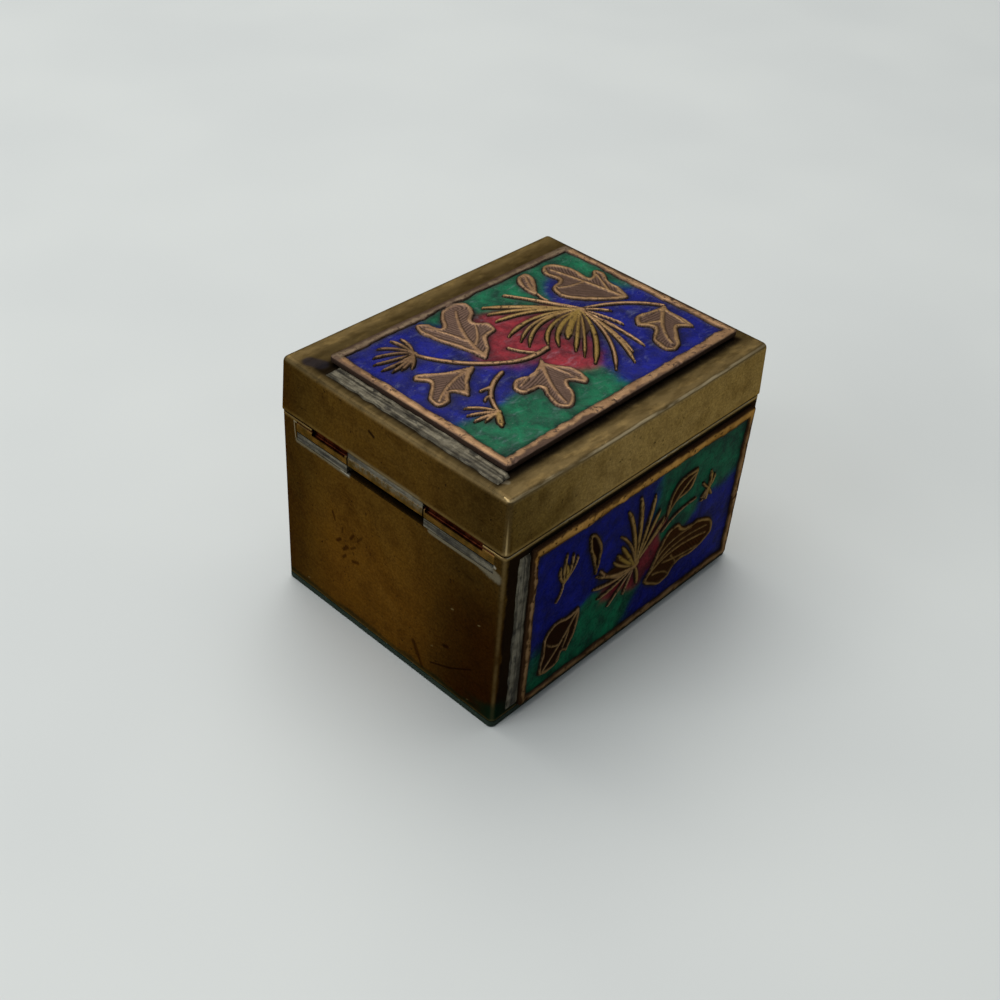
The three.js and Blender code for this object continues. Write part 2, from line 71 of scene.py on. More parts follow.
class BoxSizes(bpy.types.PropertyGroup):
    """Sizes of the box's finer forms, in millimetres"""

    body_corner: bpy.props.FloatProperty(name="Body corner", description="Radius of the body's upright edges", default=0.8)
    lid_corner: bpy.props.FloatProperty(name="Lid corner", description="Radius of the lid's upright edges", default=0.75)
    lid_edge: bpy.props.FloatProperty(name="Lid edge", description="Radius of the lid's worn upper edge", default=0.74)
    seam_edge: bpy.props.FloatProperty(name="Seam edge", description="Rounding of the edges at the seam", default=0.16)
    wall: bpy.props.FloatProperty(name="Wall", description="Thickness of the sheet brass", default=1.0)
    cell: bpy.props.FloatProperty(name="Relief cell", description="Spacing of the relief's mesh lines", default=0.15)
    enamel_cell: bpy.props.FloatProperty(name="Enamel cell", description="Spacing of the enamel's mesh lines", default=0.2)


class BoxColours(bpy.types.PropertyGroup):
    """Colours of the box's finishes"""

    olive: bpy.props.FloatVectorProperty(name="Olive brass", description="Patinated brass", subtype="COLOR", default=(0.066, 0.042, 0.013))
    light: bpy.props.FloatVectorProperty(name="Light brass", description="Brass of the long sides", subtype="COLOR", default=(0.25, 0.175, 0.075))
    dusty: bpy.props.FloatVectorProperty(name="Dusty brass", description="Brass on top of the lid", subtype="COLOR", default=(0.062, 0.044, 0.019))
    warm: bpy.props.FloatVectorProperty(name="Warm brass", description="Brass where the patina is thin", subtype="COLOR", default=(0.125, 0.06, 0.013))
    umber: bpy.props.FloatVectorProperty(name="Umber brass", description="The darkest patina", subtype="COLOR", default=(0.026, 0.011, 0.003))
    worn: bpy.props.FloatVectorProperty(name="Worn brass", description="Brass rubbed bright on the edges", subtype="COLOR", default=(0.42, 0.29, 0.12))
    copper: bpy.props.FloatVectorProperty(name="Rubbed rim", description="The worn rims and crests", subtype="COLOR", default=(0.32, 0.198, 0.108))
    gilt: bpy.props.FloatVectorProperty(name="Gilt", description="Petals with gilding left", subtype="COLOR", default=(0.25, 0.17, 0.052))
    # the soot colour is also used for painted shade and shadow, under the lid, under the plaque's edge and at the seam
    soot_and_shade: bpy.props.FloatVectorProperty(name="Soot", description="Dirt in the recesses", subtype="COLOR", default=(0.01, 0.007, 0.005))
    blue: bpy.props.FloatVectorProperty(name="Blue enamel", description="Cobalt glass", subtype="COLOR", default=(0.003, 0.006, 0.16))
    green: bpy.props.FloatVectorProperty(name="Green enamel", description="Copper-green glass", subtype="COLOR", default=(0.003, 0.105, 0.046))
    red: bpy.props.FloatVectorProperty(name="Red enamel", description="Translucent red glass", subtype="COLOR", default=(0.25, 0.018, 0.028))
    solder: bpy.props.FloatVectorProperty(name="Solder", description="Tin solder gone grey", subtype="COLOR", default=(0.135, 0.120, 0.086))
    felt: bpy.props.FloatVectorProperty(name="Felt", description="Dark green felt", subtype="COLOR", default=(0.003, 0.017, 0.006))


# ---- modelling by hand, in code


def leave_edit():
    if bpy.context.object is not None and bpy.context.object.mode != "OBJECT":
        bpy.ops.object.mode_set(mode="OBJECT")
    bpy.ops.object.select_all(action="DESELECT")


def activate(piece):
    leave_edit()
    piece.select_set(True)
    bpy.context.view_layer.objects.active = piece


def named(name):
    """The primitive just added, given its name, with its place applied to its mesh."""
    made = bpy.context.object
    made.name = made.data.name = name
    bpy.ops.object.transform_apply(location=True, rotation=True, scale=True)
    return made


def block(name, low, high):
    """A block between two corners."""
    leave_edit()
    low, high = np.array(low, float), np.array(high, float)
    bpy.ops.mesh.primitive_cube_add(size=1, location=(low + high) / 2 * MM, scale=(high - low) * MM)
    return named(name)


def rod(name, radius, y0, y1, x, z, sides):
    """A round bar along Y."""
    leave_edit()
    bpy.ops.mesh.primitive_cylinder_add(
        vertices=sides,
        radius=radius * MM,
        depth=(y1 - y0) * MM,
        location=(x * MM, (y0 + y1) / 2 * MM, z * MM),
        rotation=(math.pi / 2, 0, 0),
    )
    return named(name)


def select(piece, kind, test):
    """Edit mode on a piece, with only its parts of that kind that pass the test selected."""
    activate(piece)
    bpy.ops.object.mode_set(mode="EDIT")
    bpy.ops.mesh.select_mode(type=kind)
    bpy.ops.mesh.select_all(action="DESELECT")
    mesh = bmesh.from_edit_mesh(piece.data)
    for part in {"VERT": mesh.verts, "EDGE": mesh.edges, "FACE": mesh.faces}[kind]:
        if test(part):
            part.select_set(True)
    bmesh.update_edit_mesh(piece.data)


def at_height(z):
    """A test for an edge that lies at one height."""
    return lambda edge: all(abs(v.co.z / MM - z) < 0.01 for v in edge.verts)


def upright(edge):
    a, b = (v.co for v in edge.verts)
    return abs(a.z - b.z) > abs(a.x - b.x) + abs(a.y - b.y)


def modify(piece, kind, **settings):
    """Adds a modifier and applies it."""
    activate(piece)
    change = piece.modifiers.new(kind.title(), kind)
    for key, value in settings.items():
        setattr(change, key, value)
    bpy.ops.object.modifier_apply(modifier=change.name)


def cut(piece, *cutters):
    """Takes each cutter's shape out of the piece."""
    for cutter in cutters:
        modify(piece, "BOOLEAN", object=cutter, operation="DIFFERENCE", solver="EXACT")
        bpy.data.objects.remove(cutter)


def smooth(piece, degrees=35, weighted=True):
    activate(piece)
    bpy.ops.object.shade_smooth_by_angle(angle=math.radians(degrees))
    if weighted:
        modify(piece, "WEIGHTED_NORMAL", keep_sharp=True)


def dress(piece, material, body, slot, *nodes):
    """Gives a finished piece its material and its body, and hides the nodes that it stands for."""
    leave_edit()
    piece.data.materials.clear()
    piece.data.materials.append(material)
    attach(piece, body)
    if nodes:
        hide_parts(*nodes)


# ---- smooth noise for shapes


def ripple(u, v, size, seed):
    """Smooth noise from -1 to 1 over the plane, its hills about size across."""
    count = 61
    table = np.random.default_rng(seed).uniform(-1, 1, (count, count))
    x, y = np.asarray(u) / size + 17.3, np.asarray(v) / size + 11.9
    i, j = np.floor(x).astype(int), np.floor(y).astype(int)
    a, b = x - i, y - j
    a, b = a * a * (3 - 2 * a), b * b * (3 - 2 * b)
    i, j, k, m = i % count, j % count, (i + 1) % count, (j + 1) % count
    low = table[i, j] * (1 - a) + table[k, j] * a
    high = table[i, m] * (1 - a) + table[k, m] * a
    return low * (1 - b) + high * b


def ease(value, low, high):
    """0 below low, 1 above high, with soft ends."""
    t = np.clip((value - low) / (high - low), 0, 1)
    return t * t * (3 - 2 * t)


# ---- materials


class Finish:
    """A material put together from nodes, patterned in millimetres of the object."""

    def __init__(self, name):
        self.material = bpy.data.materials.new(name)
        self.material.use_nodes = True
        self.tree = self.material.node_tree
        self.tree.nodes.clear()
        place = self.node("ShaderNodeTexCoord")
        self.mm = self.node("ShaderNodeVectorMath", {0: place.outputs["Object"], "Scale": 1 / MM}, operation="SCALE").outputs[0]
        axes = self.node("ShaderNodeSeparateXYZ", {0: self.mm})
        self.x, self.y, self.z = axes.outputs

    def node(self, kind, inputs=(), **settings):
        made = self.tree.nodes.new(kind)
        for key, value in settings.items():
            setattr(made, key, value)
        for key, value in dict(inputs).items():
            if isinstance(value, bpy.types.NodeSocket):
                self.tree.links.new(value, made.inputs[key])
            else:
                made.inputs[key].default_value = value
        return made

    def sum(self, operation, *values, clamp=False):
        made = self.node("ShaderNodeMath", dict(enumerate(values)), operation=operation, use_clamp=clamp)
        return made.outputs[0]

    def add(self, *values):
        return self.chain("ADD", values)

    def times(self, *values):
        return self.chain("MULTIPLY", values)

    def chain(self, operation, values):
        total = values[0]
        for value in values[1:]:
            total = self.sum(operation, total, value)
        return total

    def band(self, value, low, high, start=0.0, end=1.0):
        """start below low, end above high, with soft ends."""
        inputs = {"Value": value, "From Min": low, "From Max": high, "To Min": start, "To Max": end}
        return self.node("ShaderNodeMapRange", inputs, interpolation_type="SMOOTHSTEP").outputs[0]

    def mix(self, share, a, b, blend="MIX"):
        a, b = ((*c, 1) if isinstance(c, tuple) and len(c) == 3 else c for c in (a, b))
        made = self.node("ShaderNodeMix", {0: share, 6: a, 7: b}, data_type="RGBA", blend_type=blend)
        return made.outputs[2]

    def noise(self, size, detail=2.0, rough=0.5, stretch=(1, 1, 1), shift=0.0, warp=0.0):
        """Noise whose patches are about size millimetres across, longer along the axes stretched."""
        scale = [1 / (size * s) for s in stretch]
        place = self.node("ShaderNodeMapping", {0: self.mm, 1: (shift, shift * 1.7, shift * 0.6), 3: scale})
        inputs = {0: place.outputs[0], "Scale": 1.0, "Detail": detail, "Roughness": rough, "Distortion": warp}
        return self.node("ShaderNodeTexNoise", inputs).outputs[0]

    def stroke(self, a, b, width, soft=0.5):
        """1 along the straight line between two points, 0 further than width from it."""
        a, b = Vector(a), Vector(b)
        run = b - a
        rel = self.node("ShaderNodeVectorMath", {0: self.mm, 1: a}, operation="SUBTRACT").outputs[0]
        dot = self.node("ShaderNodeVectorMath", {0: rel, 1: run / run.length_squared}, operation="DOT_PRODUCT")
        share = self.sum("MULTIPLY", dot.outputs["Value"], 1.0, clamp=True)
        spot = self.node("ShaderNodeVectorMath", {0: run, "Scale": share}, operation="SCALE").outputs[0]
        gap = self.node("ShaderNodeVectorMath", {0: rel, 1: spot}, operation="DISTANCE").outputs["Value"]
        return self.band(gap, width * (1 - soft), width, 1.0, 0.0)

    def attribute(self, name):
        made = self.node("ShaderNodeAttribute", attribute_name=name, attribute_type="GEOMETRY")
        return self.node("ShaderNodeSeparateColor", {0: made.outputs["Color"]}).outputs

    def bump(self, height, distance, strength=1.0, under=None):
        inputs = {"Strength": strength, "Distance": distance * MM, "Height": height}
        if under is not None:
            inputs["Normal"] = under
        return self.node("ShaderNodeBump", inputs).outputs[0]

    def surface(self, colour, **sockets):
        inputs = {"Base Color": (*colour, 1) if isinstance(colour, tuple) else colour}
        inputs.update({key.replace("_", " ").title().replace("Ior", "IOR"): value for key, value in sockets.items()})
        shader = self.node("ShaderNodeBsdfPrincipled", inputs)
        output = self.node("ShaderNodeOutputMaterial")
        self.tree.links.new(shader.outputs[0], output.inputs[0])
        return self.material


def edge_nearness(f, low, high, reach):
    """0 over the faces of a box, rising to 1 along its edges within reach of them."""
    shares = []
    for axis, a, b in zip((f.x, f.y, f.z), low, high):
        off = f.sum("ABSOLUTE", f.sum("SUBTRACT", axis, (a + b) / 2))
        shares.append(f.band(off, (b - a) / 2 - reach, (b - a) / 2))
    x, y, z = shares
    return f.sum("ADD", f.times(x, y), f.add(f.times(y, z), f.times(z, x)), clamp=True)


def inside_box(f, low, high, soft):
    """1 within a box, with soft sides."""
    shares = []
    for axis, a, b in zip((f.x, f.y, f.z), low, high):
        shares.append(f.band(axis, a - soft, a + soft))
        shares.append(f.band(axis, b - soft, b + soft, 1.0, 0.0))
    return f.times(*shares)


def sheet_brass(name, colours, low, high):
    """Sheet brass with its patina: brown on the hinge end, olive and lighter on the long sides."""
    f = Finish(name)
    broad = f.noise(14, 3, 0.55, warp=0.6)
    cloud = f.noise(3.2, 4, 0.6, shift=3.1)
    grain = f.noise(0.35, 3, 0.7, shift=7.7)
    brushed = f.noise(0.25, 2, 0.6, stretch=(10, 10, 1), shift=5.2)
    end = f.band(f.x, low[0] + 1.2, low[0] + 0.4)
    shaded = f.band(f.add(f.x, f.times(broad, 16.0)), low[0] + 28.0, low[0] + 10.0, 0.0, 0.85)
    colour = f.mix(shaded, tuple(colours.light), tuple(colours.olive))
    colour = f.mix(end, colour, tuple(colours.olive))
    middle = f.band(f.add(f.y, f.times(broad, 10.0)), -10.0, 1.0)
    middle = f.times(middle, f.band(f.add(f.y, f.times(broad, -6.0)), 16.0, 4.0))
    height = f.band(f.add(f.z, f.times(broad, 12.0)), 34.0, 14.0)
    warm = f.times(end, middle, f.add(0.35, f.times(height, 0.65)))
    lower = f.band(f.add(f.z, f.times(cloud, 5.0)), 30.0, 16.0, 0.35, 1.0)
    dark = f.times(end, lower, f.band(f.add(f.y, f.times(cloud, 6.0)), 1.0, -14.0, 0.0, 0.92))
    far = f.times(end, f.band(f.add(f.y, f.times(cloud, -4.0)), 10.0, 19.0, 0.0, 0.5))
    colour = f.mix(warm, colour, tuple(colours.warm))
    colour = f.mix(dark, colour, tuple(colours.umber))
    colour = f.mix(far, colour, tuple(colours.umber))
    colour = f.mix(f.band(cloud, 0.4, 0.75, 0.0, 0.6), colour, (0.50, 0.46, 0.42), "MULTIPLY")
    colour = f.mix(f.band(grain, 0.35, 0.7, 0.0, 0.8), colour, (1.6, 1.6, 1.5), "MULTIPLY")
    fine = f.noise(0.16, 2, 0.6, shift=17.3)
    colour = f.mix(f.band(fine, 0.3, 0.52, 0.6, 0.0), colour, (0.55, 0.52, 0.45), "MULTIPLY")
    colour = f.mix(f.band(brushed, 0.56, 0.72, 0.0, 0.35), colour, (0.5, 0.5, 0.5), "MULTIPLY")
    pits = f.band(f.noise(0.5, 1, 0.5, shift=12.4), 0.71, 0.78)
    colour = f.mix(f.times(pits, 0.75), colour, tuple(colours.soot_and_shade))
    return f, colour, dict(broad=broad, cloud=cloud, grain=grain, brushed=brushed, pits=pits, end=end)


def finish_brass(f, colour, maps, worn, dark=None):
    roughness = f.add(0.38, f.times(maps["cloud"], 0.22), f.times(worn, -0.12))
    if dark is not None:
        roughness = f.add(roughness, f.times(dark, 0.22))
    height = f.add(f.times(maps["grain"], 0.5), f.times(maps["brushed"], 0.4), f.times(maps["pits"], -1.2))
    fine = f.bump(height, 0.02, 0.5)
    soft = f.bump(maps["broad"], 1.2, 0.35, under=fine)
    return f.surface(colour, metallic=1.0, specular_tint=(0.45, 0.34, 0.20, 1), roughness=roughness, normal=soft)


def strokes(f, marks):
    """The strongest of several strokes, each from a to b, so wide and so deep."""
    most = None
    for a, b, width, depth in marks:
        one = f.times(f.stroke(a, b, width, 0.8), depth)
        most = one if most is None else f.sum("MAXIMUM", most, one)
    return most


def body_material(colours):
    low, high = node_box("body")
    f, colour, maps = sheet_brass("Patinated sheet brass, body", colours, low, high)
    end, side, top = low[0], low[1], high[2]
    # the bare strip beside the near edge, and the strip over the plaque painted dark as the shadow under the lid's
    # overhang
    ragged = f.times(f.sum("SUBTRACT", maps["cloud"], 0.5), 1.2)
    strip = f.times(
        f.band(f.y, side + 0.12, side + 0.05),
        f.band(f.add(f.x, ragged), end + 0.45, end + 0.9),
    )
    strip = f.times(strip, f.band(f.z, top - 0.25, top - 0.5))
    colour = f.mix(f.times(strip, 0.93), colour, tuple(colours.soot_and_shade))
    # the far long side is painted dark under the lid's overhang in the same way, as shade
    back = f.times(f.band(f.y, -side - 0.12, -side - 0.05), f.band(f.z, top - 0.25, top - 0.5))
    colour = f.mix(f.times(back, 0.7), colour, tuple(colours.soot_and_shade))
    # scratches, stains and specks on the hinge end
    scratches = [
        ((9.6, 16.2), (10.0, 17.4), 0.3, 0.75),
        ((8.2, 15.0), (8.1, 15.8), 0.28, 0.6),
        ((6.6, 14.8), (6.0, 15.8), 0.32, 0.75),
        ((5.3, 15.2), (4.5, 16.2), 0.26, 0.6),
        ((9.2, 13.0), (8.6, 13.6), 0.4, 0.85),
        ((8.0, 12.2), (7.2, 13.0), 0.42, 0.85),
        ((6.5, 13.2), (5.7, 13.9), 0.32, 0.7),
        ((8.1, 10.8), (7.6, 11.4), 0.34, 0.75),
        ((6.2, 11.2), (5.2, 11.6), 0.42, 0.8),
        ((-10.8, 8.3), (-11.4, 8.5), 0.45, 0.9),
        ((-8.6, 3.7), (-12.2, 5.3), 0.24, 0.95),
        ((-12.2, 5.3), (-15.6, 7.6), 0.2, 0.9),
        ((-5.4, 5.2), (-6.3, 3.4), 0.6, 0.8),
        ((-6.3, 3.4), (-7.1, 1.8), 0.4, 0.8),
        ((-13.4, 22.4), (-15.0, 22.0), 0.4, 0.5),
    ]
    marred = strokes(f, [((end, *a), (end, *b), width, depth) for a, b, width, depth in scratches])
    marred = f.times(marred, f.band(maps["grain"], 0.25, 0.6, 0.4, 0.85))
    colour = f.mix(marred, colour, (0.006, 0.003, 0.002))
    specks = [((-16.3, 15.7), 0.16), ((-11.8, 15.3), 0.2), ((15.4, 2.4), 0.18), ((-8.6, 6.7), 0.14), ((-15.2, 2.0), 0.12)]
    bright = strokes(f, [((end, y, z), (end, y - 0.25, z + 0.1), width, 0.5) for (y, z), width in specks])
    colour = f.mix(bright, colour, (0.22, 0.17, 0.09))
    # the far and near ends of the hinge are let in a little lower than the plate; a painted highlight runs along the
    # edge of the far one
    let_in_highlight = strokes(f, [((end, 17.2, 27.9), (end, 14.2, 27.4), 0.14, 0.9), ((end, 17.2, 27.9), (end, 17.0, 25.4), 0.12, 0.8)])
    colour = f.mix(let_in_highlight, colour, (0.30, 0.26, 0.18))
    # solder smeared round the hinge
    far_band = f.stroke((end, 16.6, 25.1), (end, 7.0, 25.1), 0.75, 0.9)
    near_band = f.stroke((end, -7.6, 25.05), (end, -17.6, 24.95), 0.6, 0.9)
    rough = f.add(maps["cloud"], f.times(maps["grain"], 0.5))
    smear = f.sum("MAXIMUM", f.times(far_band, 0.9), near_band)
    tail = f.stroke((end, -16.2, 25.3), (end, -18.4, 24.9), 1.5, 0.95)
    smear = f.sum("MAXIMUM", smear, tail)
    smear = f.times(f.band(f.add(smear, f.times(rough, 1.3)), 1.15, 1.85), f.band(smear, 0.0, 0.4), 0.9)
    colour = f.mix(smear, colour, tuple(c * 1.25 for c in colours.solder))
    blob = strokes(f, [((end, 8.2, 25.3), (end, 7.0, 25.2), 0.42, 0.95), ((end, -17.6, 26.6), (end, -18.2, 26.2), 0.3, 0.5)])
    blob = f.times(blob, f.band(maps["grain"], 0.3, 0.6, 0.4, 1.0))
    colour = f.mix(blob, colour, (0.55, 0.53, 0.46))
    # verdigris at the foot, thickest under the near edge
    low_down = f.band(f.add(f.z, f.times(maps["cloud"], -1.6)), low[2] + 0.5, low[2] - 0.1)
    corner = f.times(f.band(f.y, side + 6.0, side), f.band(f.x, end + 5.0, end))
    rising = f.band(f.add(f.z, f.times(maps["cloud"], -3.0)), low[2] + 1.8, low[2] + 0.2)
    green = f.sum("MAXIMUM", f.times(low_down, 0.55), f.times(rising, corner, 0.85))
    colour = f.mix(green, colour, (0.004, 0.022, 0.013))
    worn = edge_nearness(f, low, high, 0.6)
    worn = f.times(worn, f.band(maps["cloud"], 0.3, 0.62, 0.25, 1.0), f.sum("SUBTRACT", 1.0, f.times(green, 0.8)))
    colour = f.mix(f.times(worn, f.band(maps["end"], 0, 1, 0.6, 0.42)), colour, tuple(colours.worn))
    # the seam's lower edge is rubbed along the seen side, and painted lighter there as wear and as a highlight
    rubbed = f.times(f.band(f.z, top - 0.16, top - 0.08), f.band(f.y, side + 0.3, side + 0.1))
    rubbed = f.times(rubbed, f.band(f.noise(1.2, 3, 0.6, stretch=(4, 1, 1), shift=6.5), 0.4, 0.56))
    colour = f.mix(f.times(rubbed, 0.75), colour, (0.34, 0.30, 0.20))
    ticks = [
        ((2.8, side, 28.15), (4.6, side, 28.2), 0.07, 0.9),
        ((5.6, side, 28.12), (6.8, side, 28.16), 0.06, 0.8),
        ((8.0, side, 28.1), (8.9, side, 28.18), 0.07, 0.9),
        ((9.8, side, 28.14), (11.4, side, 28.2), 0.06, 0.7),
    ]
    colour = f.mix(strokes(f, ticks), colour, (0.5, 0.48, 0.4))
    inner = f.times(
        f.band(f.sum("ABSOLUTE", f.x), high[0] - 0.7, high[0] - 0.9),
        f.band(f.sum("ABSOLUTE", f.y), high[1] - 0.7, high[1] - 0.9),
    )
    inner = f.times(inner, f.band(f.z, low[2] + 0.4, low[2] + 0.6))
    colour = f.mix(f.times(inner, 0.4), colour, tuple(colours.umber))
    return finish_brass(f, colour, maps, worn, strip)


def lid_material(colours):
    low, high = node_box("lid")
    f, colour, maps = sheet_brass("Patinated sheet brass, lid", colours, low, high)
    end, side, top = low[0], low[1], high[2]
    above = f.band(f.z, top - 0.55, top - 0.2)
    colour = f.mix(above, colour, tuple(colours.dusty))
    side_margins = f.times(above, f.band(f.sum("ABSOLUTE", f.y), 16.4, 18.4, 0.0, 0.8))
    colour = f.mix(side_margins, colour, tuple(c * 0.62 for c in colours.light))
    # grime along the foot of the plaque and its solder, and painted shadow under the plaque's edge
    p_low, p_high = node_box("top_plaque")
    ragged = f.times(f.sum("SUBTRACT", maps["cloud"], 0.5), 1.6)
    dirt_and_shade_nearby = inside_box(
        f,
        (p_low[0] - 2.2, p_low[1] - 0.8, top - 0.4),
        (p_high[0] + 0.3, p_high[1] + 0.5, top + 1),
        0.42,
    )
    grime = f.times(dirt_and_shade_nearby, f.band(f.add(ragged, maps["grain"]), 0.1, 0.6, 0.65, 1.0))
    colour = f.mix(f.times(grime, 0.9), colour, tuple(colours.soot_and_shade))
    patch = f.stroke((p_low[0] - 0.9, p_high[1] + 0.5, top), (p_low[0] - 1.5, p_high[1] + 1.9, top), 1.3, 0.5)
    patch = f.times(patch, f.band(f.add(maps["cloud"], f.times(maps["grain"], 0.5)), 0.4, 0.8, 0.7, 1.0))
    colour = f.mix(f.times(patch, 0.9), colour, (0.020, 0.018, 0.022))
    tip = f.stroke((p_low[0] - 0.9, p_low[1] - 0.9, top), (p_low[0] - 1.4, p_low[1] - 0.1, top), 0.5, 0.5)
    tip = f.times(tip, f.band(maps["grain"], 0.3, 0.6, 0.2, 1.0))
    colour = f.mix(f.times(tip, 0.4), colour, tuple(c * 1.3 for c in colours.solder))
    # dull streaks on the upper side
    streak = f.times(above, f.band(f.noise(0.9, 3, 0.6, stretch=(3, 1, 1), shift=2.2), 0.42, 0.66, 0.0, 0.55))
    colour = f.mix(streak, colour, (0.5, 0.48, 0.45), "MULTIPLY")
    dust = f.times(above, f.band(f.noise(1.1, 4, 0.65, stretch=(2.4, 1, 1), shift=9.2), 0.48, 0.72, 0.0, 0.6))
    colour = f.mix(dust, colour, (1.9, 1.85, 1.7), "MULTIPLY")
    # scratches on the seen long side and pits on the hinge end
    marks = [
        ((23.4, side, 35.3), (21.2, side, 34.3), 0.13, 0.85),
        ((22.6, side, 35.6), (20.4, side, 34.9), 0.12, 0.8),
        ((21.6, side, 34.0), (20.9, side, 33.0), 0.12, 0.7),
        ((end, 3.1, 33.9), (end, 2.3, 33.5), 0.36, 0.95),
        ((end, 0.2, 35.2), (end, -0.4, 34.9), 0.18, 0.6),
    ]
    colour = f.mix(strokes(f, marks), colour, tuple(colours.soot_and_shade))
    # solder smeared up from the lid's knuckle
    knuckle_low, knuckle_high = node_box("hinge_knuckle_lid")
    smear = inside_box(f, (end - 1, knuckle_low[1] + 0.4, low[2] - 1), (end + 0.4, knuckle_high[1] - 0.2, low[2] + 0.5), 0.35)
    smear = f.times(smear, f.band(maps["cloud"], 0.3, 0.5, 0.4, 1.0))
    colour = f.mix(f.times(smear, 0.8), colour, tuple(colours.solder))
    worn = edge_nearness(f, low, high, 0.85)
    worn = f.times(worn, f.band(maps["cloud"], 0.3, 0.62, 0.25, 1.0))
    colour = f.mix(f.times(worn, f.band(maps["end"], 0, 1, 0.5, 0.34)), colour, tuple(colours.worn))
    # the bright line along the upper edge of the seen side, and its ends: rubbed bright, and a painted highlight as
    # well
    breaks = f.band(f.noise(1.4, 3, 0.6, stretch=(5, 1, 1), shift=4.4), 0.36, 0.55)
    wobble = f.times(f.sum("SUBTRACT", f.noise(4.0, 2, 0.5, shift=8.8), 0.5), 0.16)
    line = f.times(f.band(f.add(f.z, wobble), top - 0.38, top - 0.24), f.band(f.add(f.z, wobble), top - 0.06, top - 0.16))
    line = f.times(line, f.band(f.y, side + 1.6, side + 1.3), f.band(f.sum("ABSOLUTE", f.x), 24.0, 12.0, 0.45, 1.0), breaks)
    colour = f.mix(f.times(line, 0.9), colour, (0.66, 0.53, 0.31))
    corner = strokes(
        f,
        [
            ((end + 0.65, side + 1.5, top - 0.1), (end + 0.6, side + 0.6, top - 0.25), 0.15, 0.9),
            ((end + 0.6, side + 0.6, top - 0.25), (end + 1.4, side + 0.55, top - 0.25), 0.13, 0.8),
            ((end + 0.35, side + 0.35, top - 0.9), (end + 0.2, side + 0.2, low[2] + 0.4), 0.2, 0.7),
        ],
    )
    colour = f.mix(corner, colour, (0.52, 0.38, 0.18))
    # painted shadow along the lid's lower edge at the seam
    seam = f.times(f.band(f.z, low[2] + 0.35, low[2] + 0.1), 0.55)
    colour = f.mix(seam, colour, tuple(colours.soot_and_shade))
    inner = f.times(
        f.band(f.sum("ABSOLUTE", f.x), high[0] - 0.8, high[0] - 1.0),
        f.band(f.sum("ABSOLUTE", f.y), high[1] - 0.8, high[1] - 1.0),
    )
    inner = f.times(inner, f.band(f.z, top - 0.6, top - 0.9))
    colour = f.mix(f.times(inner, 0.4), colour, tuple(colours.umber))
    return finish_brass(f, colour, maps, worn, grime)


def plaque_material(name, colours, leaf, rubbed, upper=None, far=None):
    """Cast metal: dark in the recesses, hatched leaves, rims and crests rubbed bright, less so on flanks painted darker
    as shade. far, if given, is a darker crest colour painted on the far rim as shade.
    """
    f = Finish(name)
    worn, gold, vein = f.attribute("finish")[:3]
    cloud = f.noise(1.6, 4, 0.6)
    grain = f.noise(0.22, 3, 0.7, shift=4.0)
    pits = f.band(f.noise(0.55, 2, 0.6, shift=8.0), 0.60, 0.68)
    blush = f.noise(5, 2, 0.5, shift=1.0)
    colour = f.mix(vein, tuple(colours.soot_and_shade), leaf)
    colour = f.mix(f.band(grain, 0.35, 0.7, 0.0, 0.5), colour, (1.6, 1.55, 1.5), "MULTIPLY")
    crest = rubbed
    if upper is not None:
        crest = f.mix(f.band(f.z, 24.6, 25.8), crest, upper)
    if far is not None:
        # the far rim's crest is painted darker, as shade
        crest = f.mix(f.band(f.y, 12.4, 13.0), crest, far)
    crest = f.mix(gold, crest, tuple(colours.gilt))
    crest = f.mix(f.band(blush, 0.4, 0.65, 0.0, 0.5), crest, (0.72, 0.70, 0.68), "MULTIPLY")
    crest = f.mix(f.band(cloud, 0.35, 0.7, 0.0, 0.6), crest, (0.55, 0.50, 0.48), "MULTIPLY")
    crest = f.mix(f.band(grain, 0.3, 0.75, 0.0, 0.4), crest, (1.45, 1.4, 1.35), "MULTIPLY")
    share = f.times(worn, f.band(f.add(cloud, f.times(grain, 0.35)), 0.34, 0.6, 0.6, 1.0))
    share = f.times(share, f.sum("SUBTRACT", 1.0, f.times(pits, 0.85)))
    colour = f.mix(share, colour, crest)
    roughness = f.add(0.5, f.times(worn, -0.12), f.times(cloud, 0.14))
    height = f.add(grain, f.times(pits, -1.6), f.times(cloud, 0.6))
    tint = (0.5, 0.4, 0.32, 1)
    return f.surface(colour, metallic=1.0, specular_tint=tint, roughness=roughness, normal=f.bump(height, 0.03, 0.6))


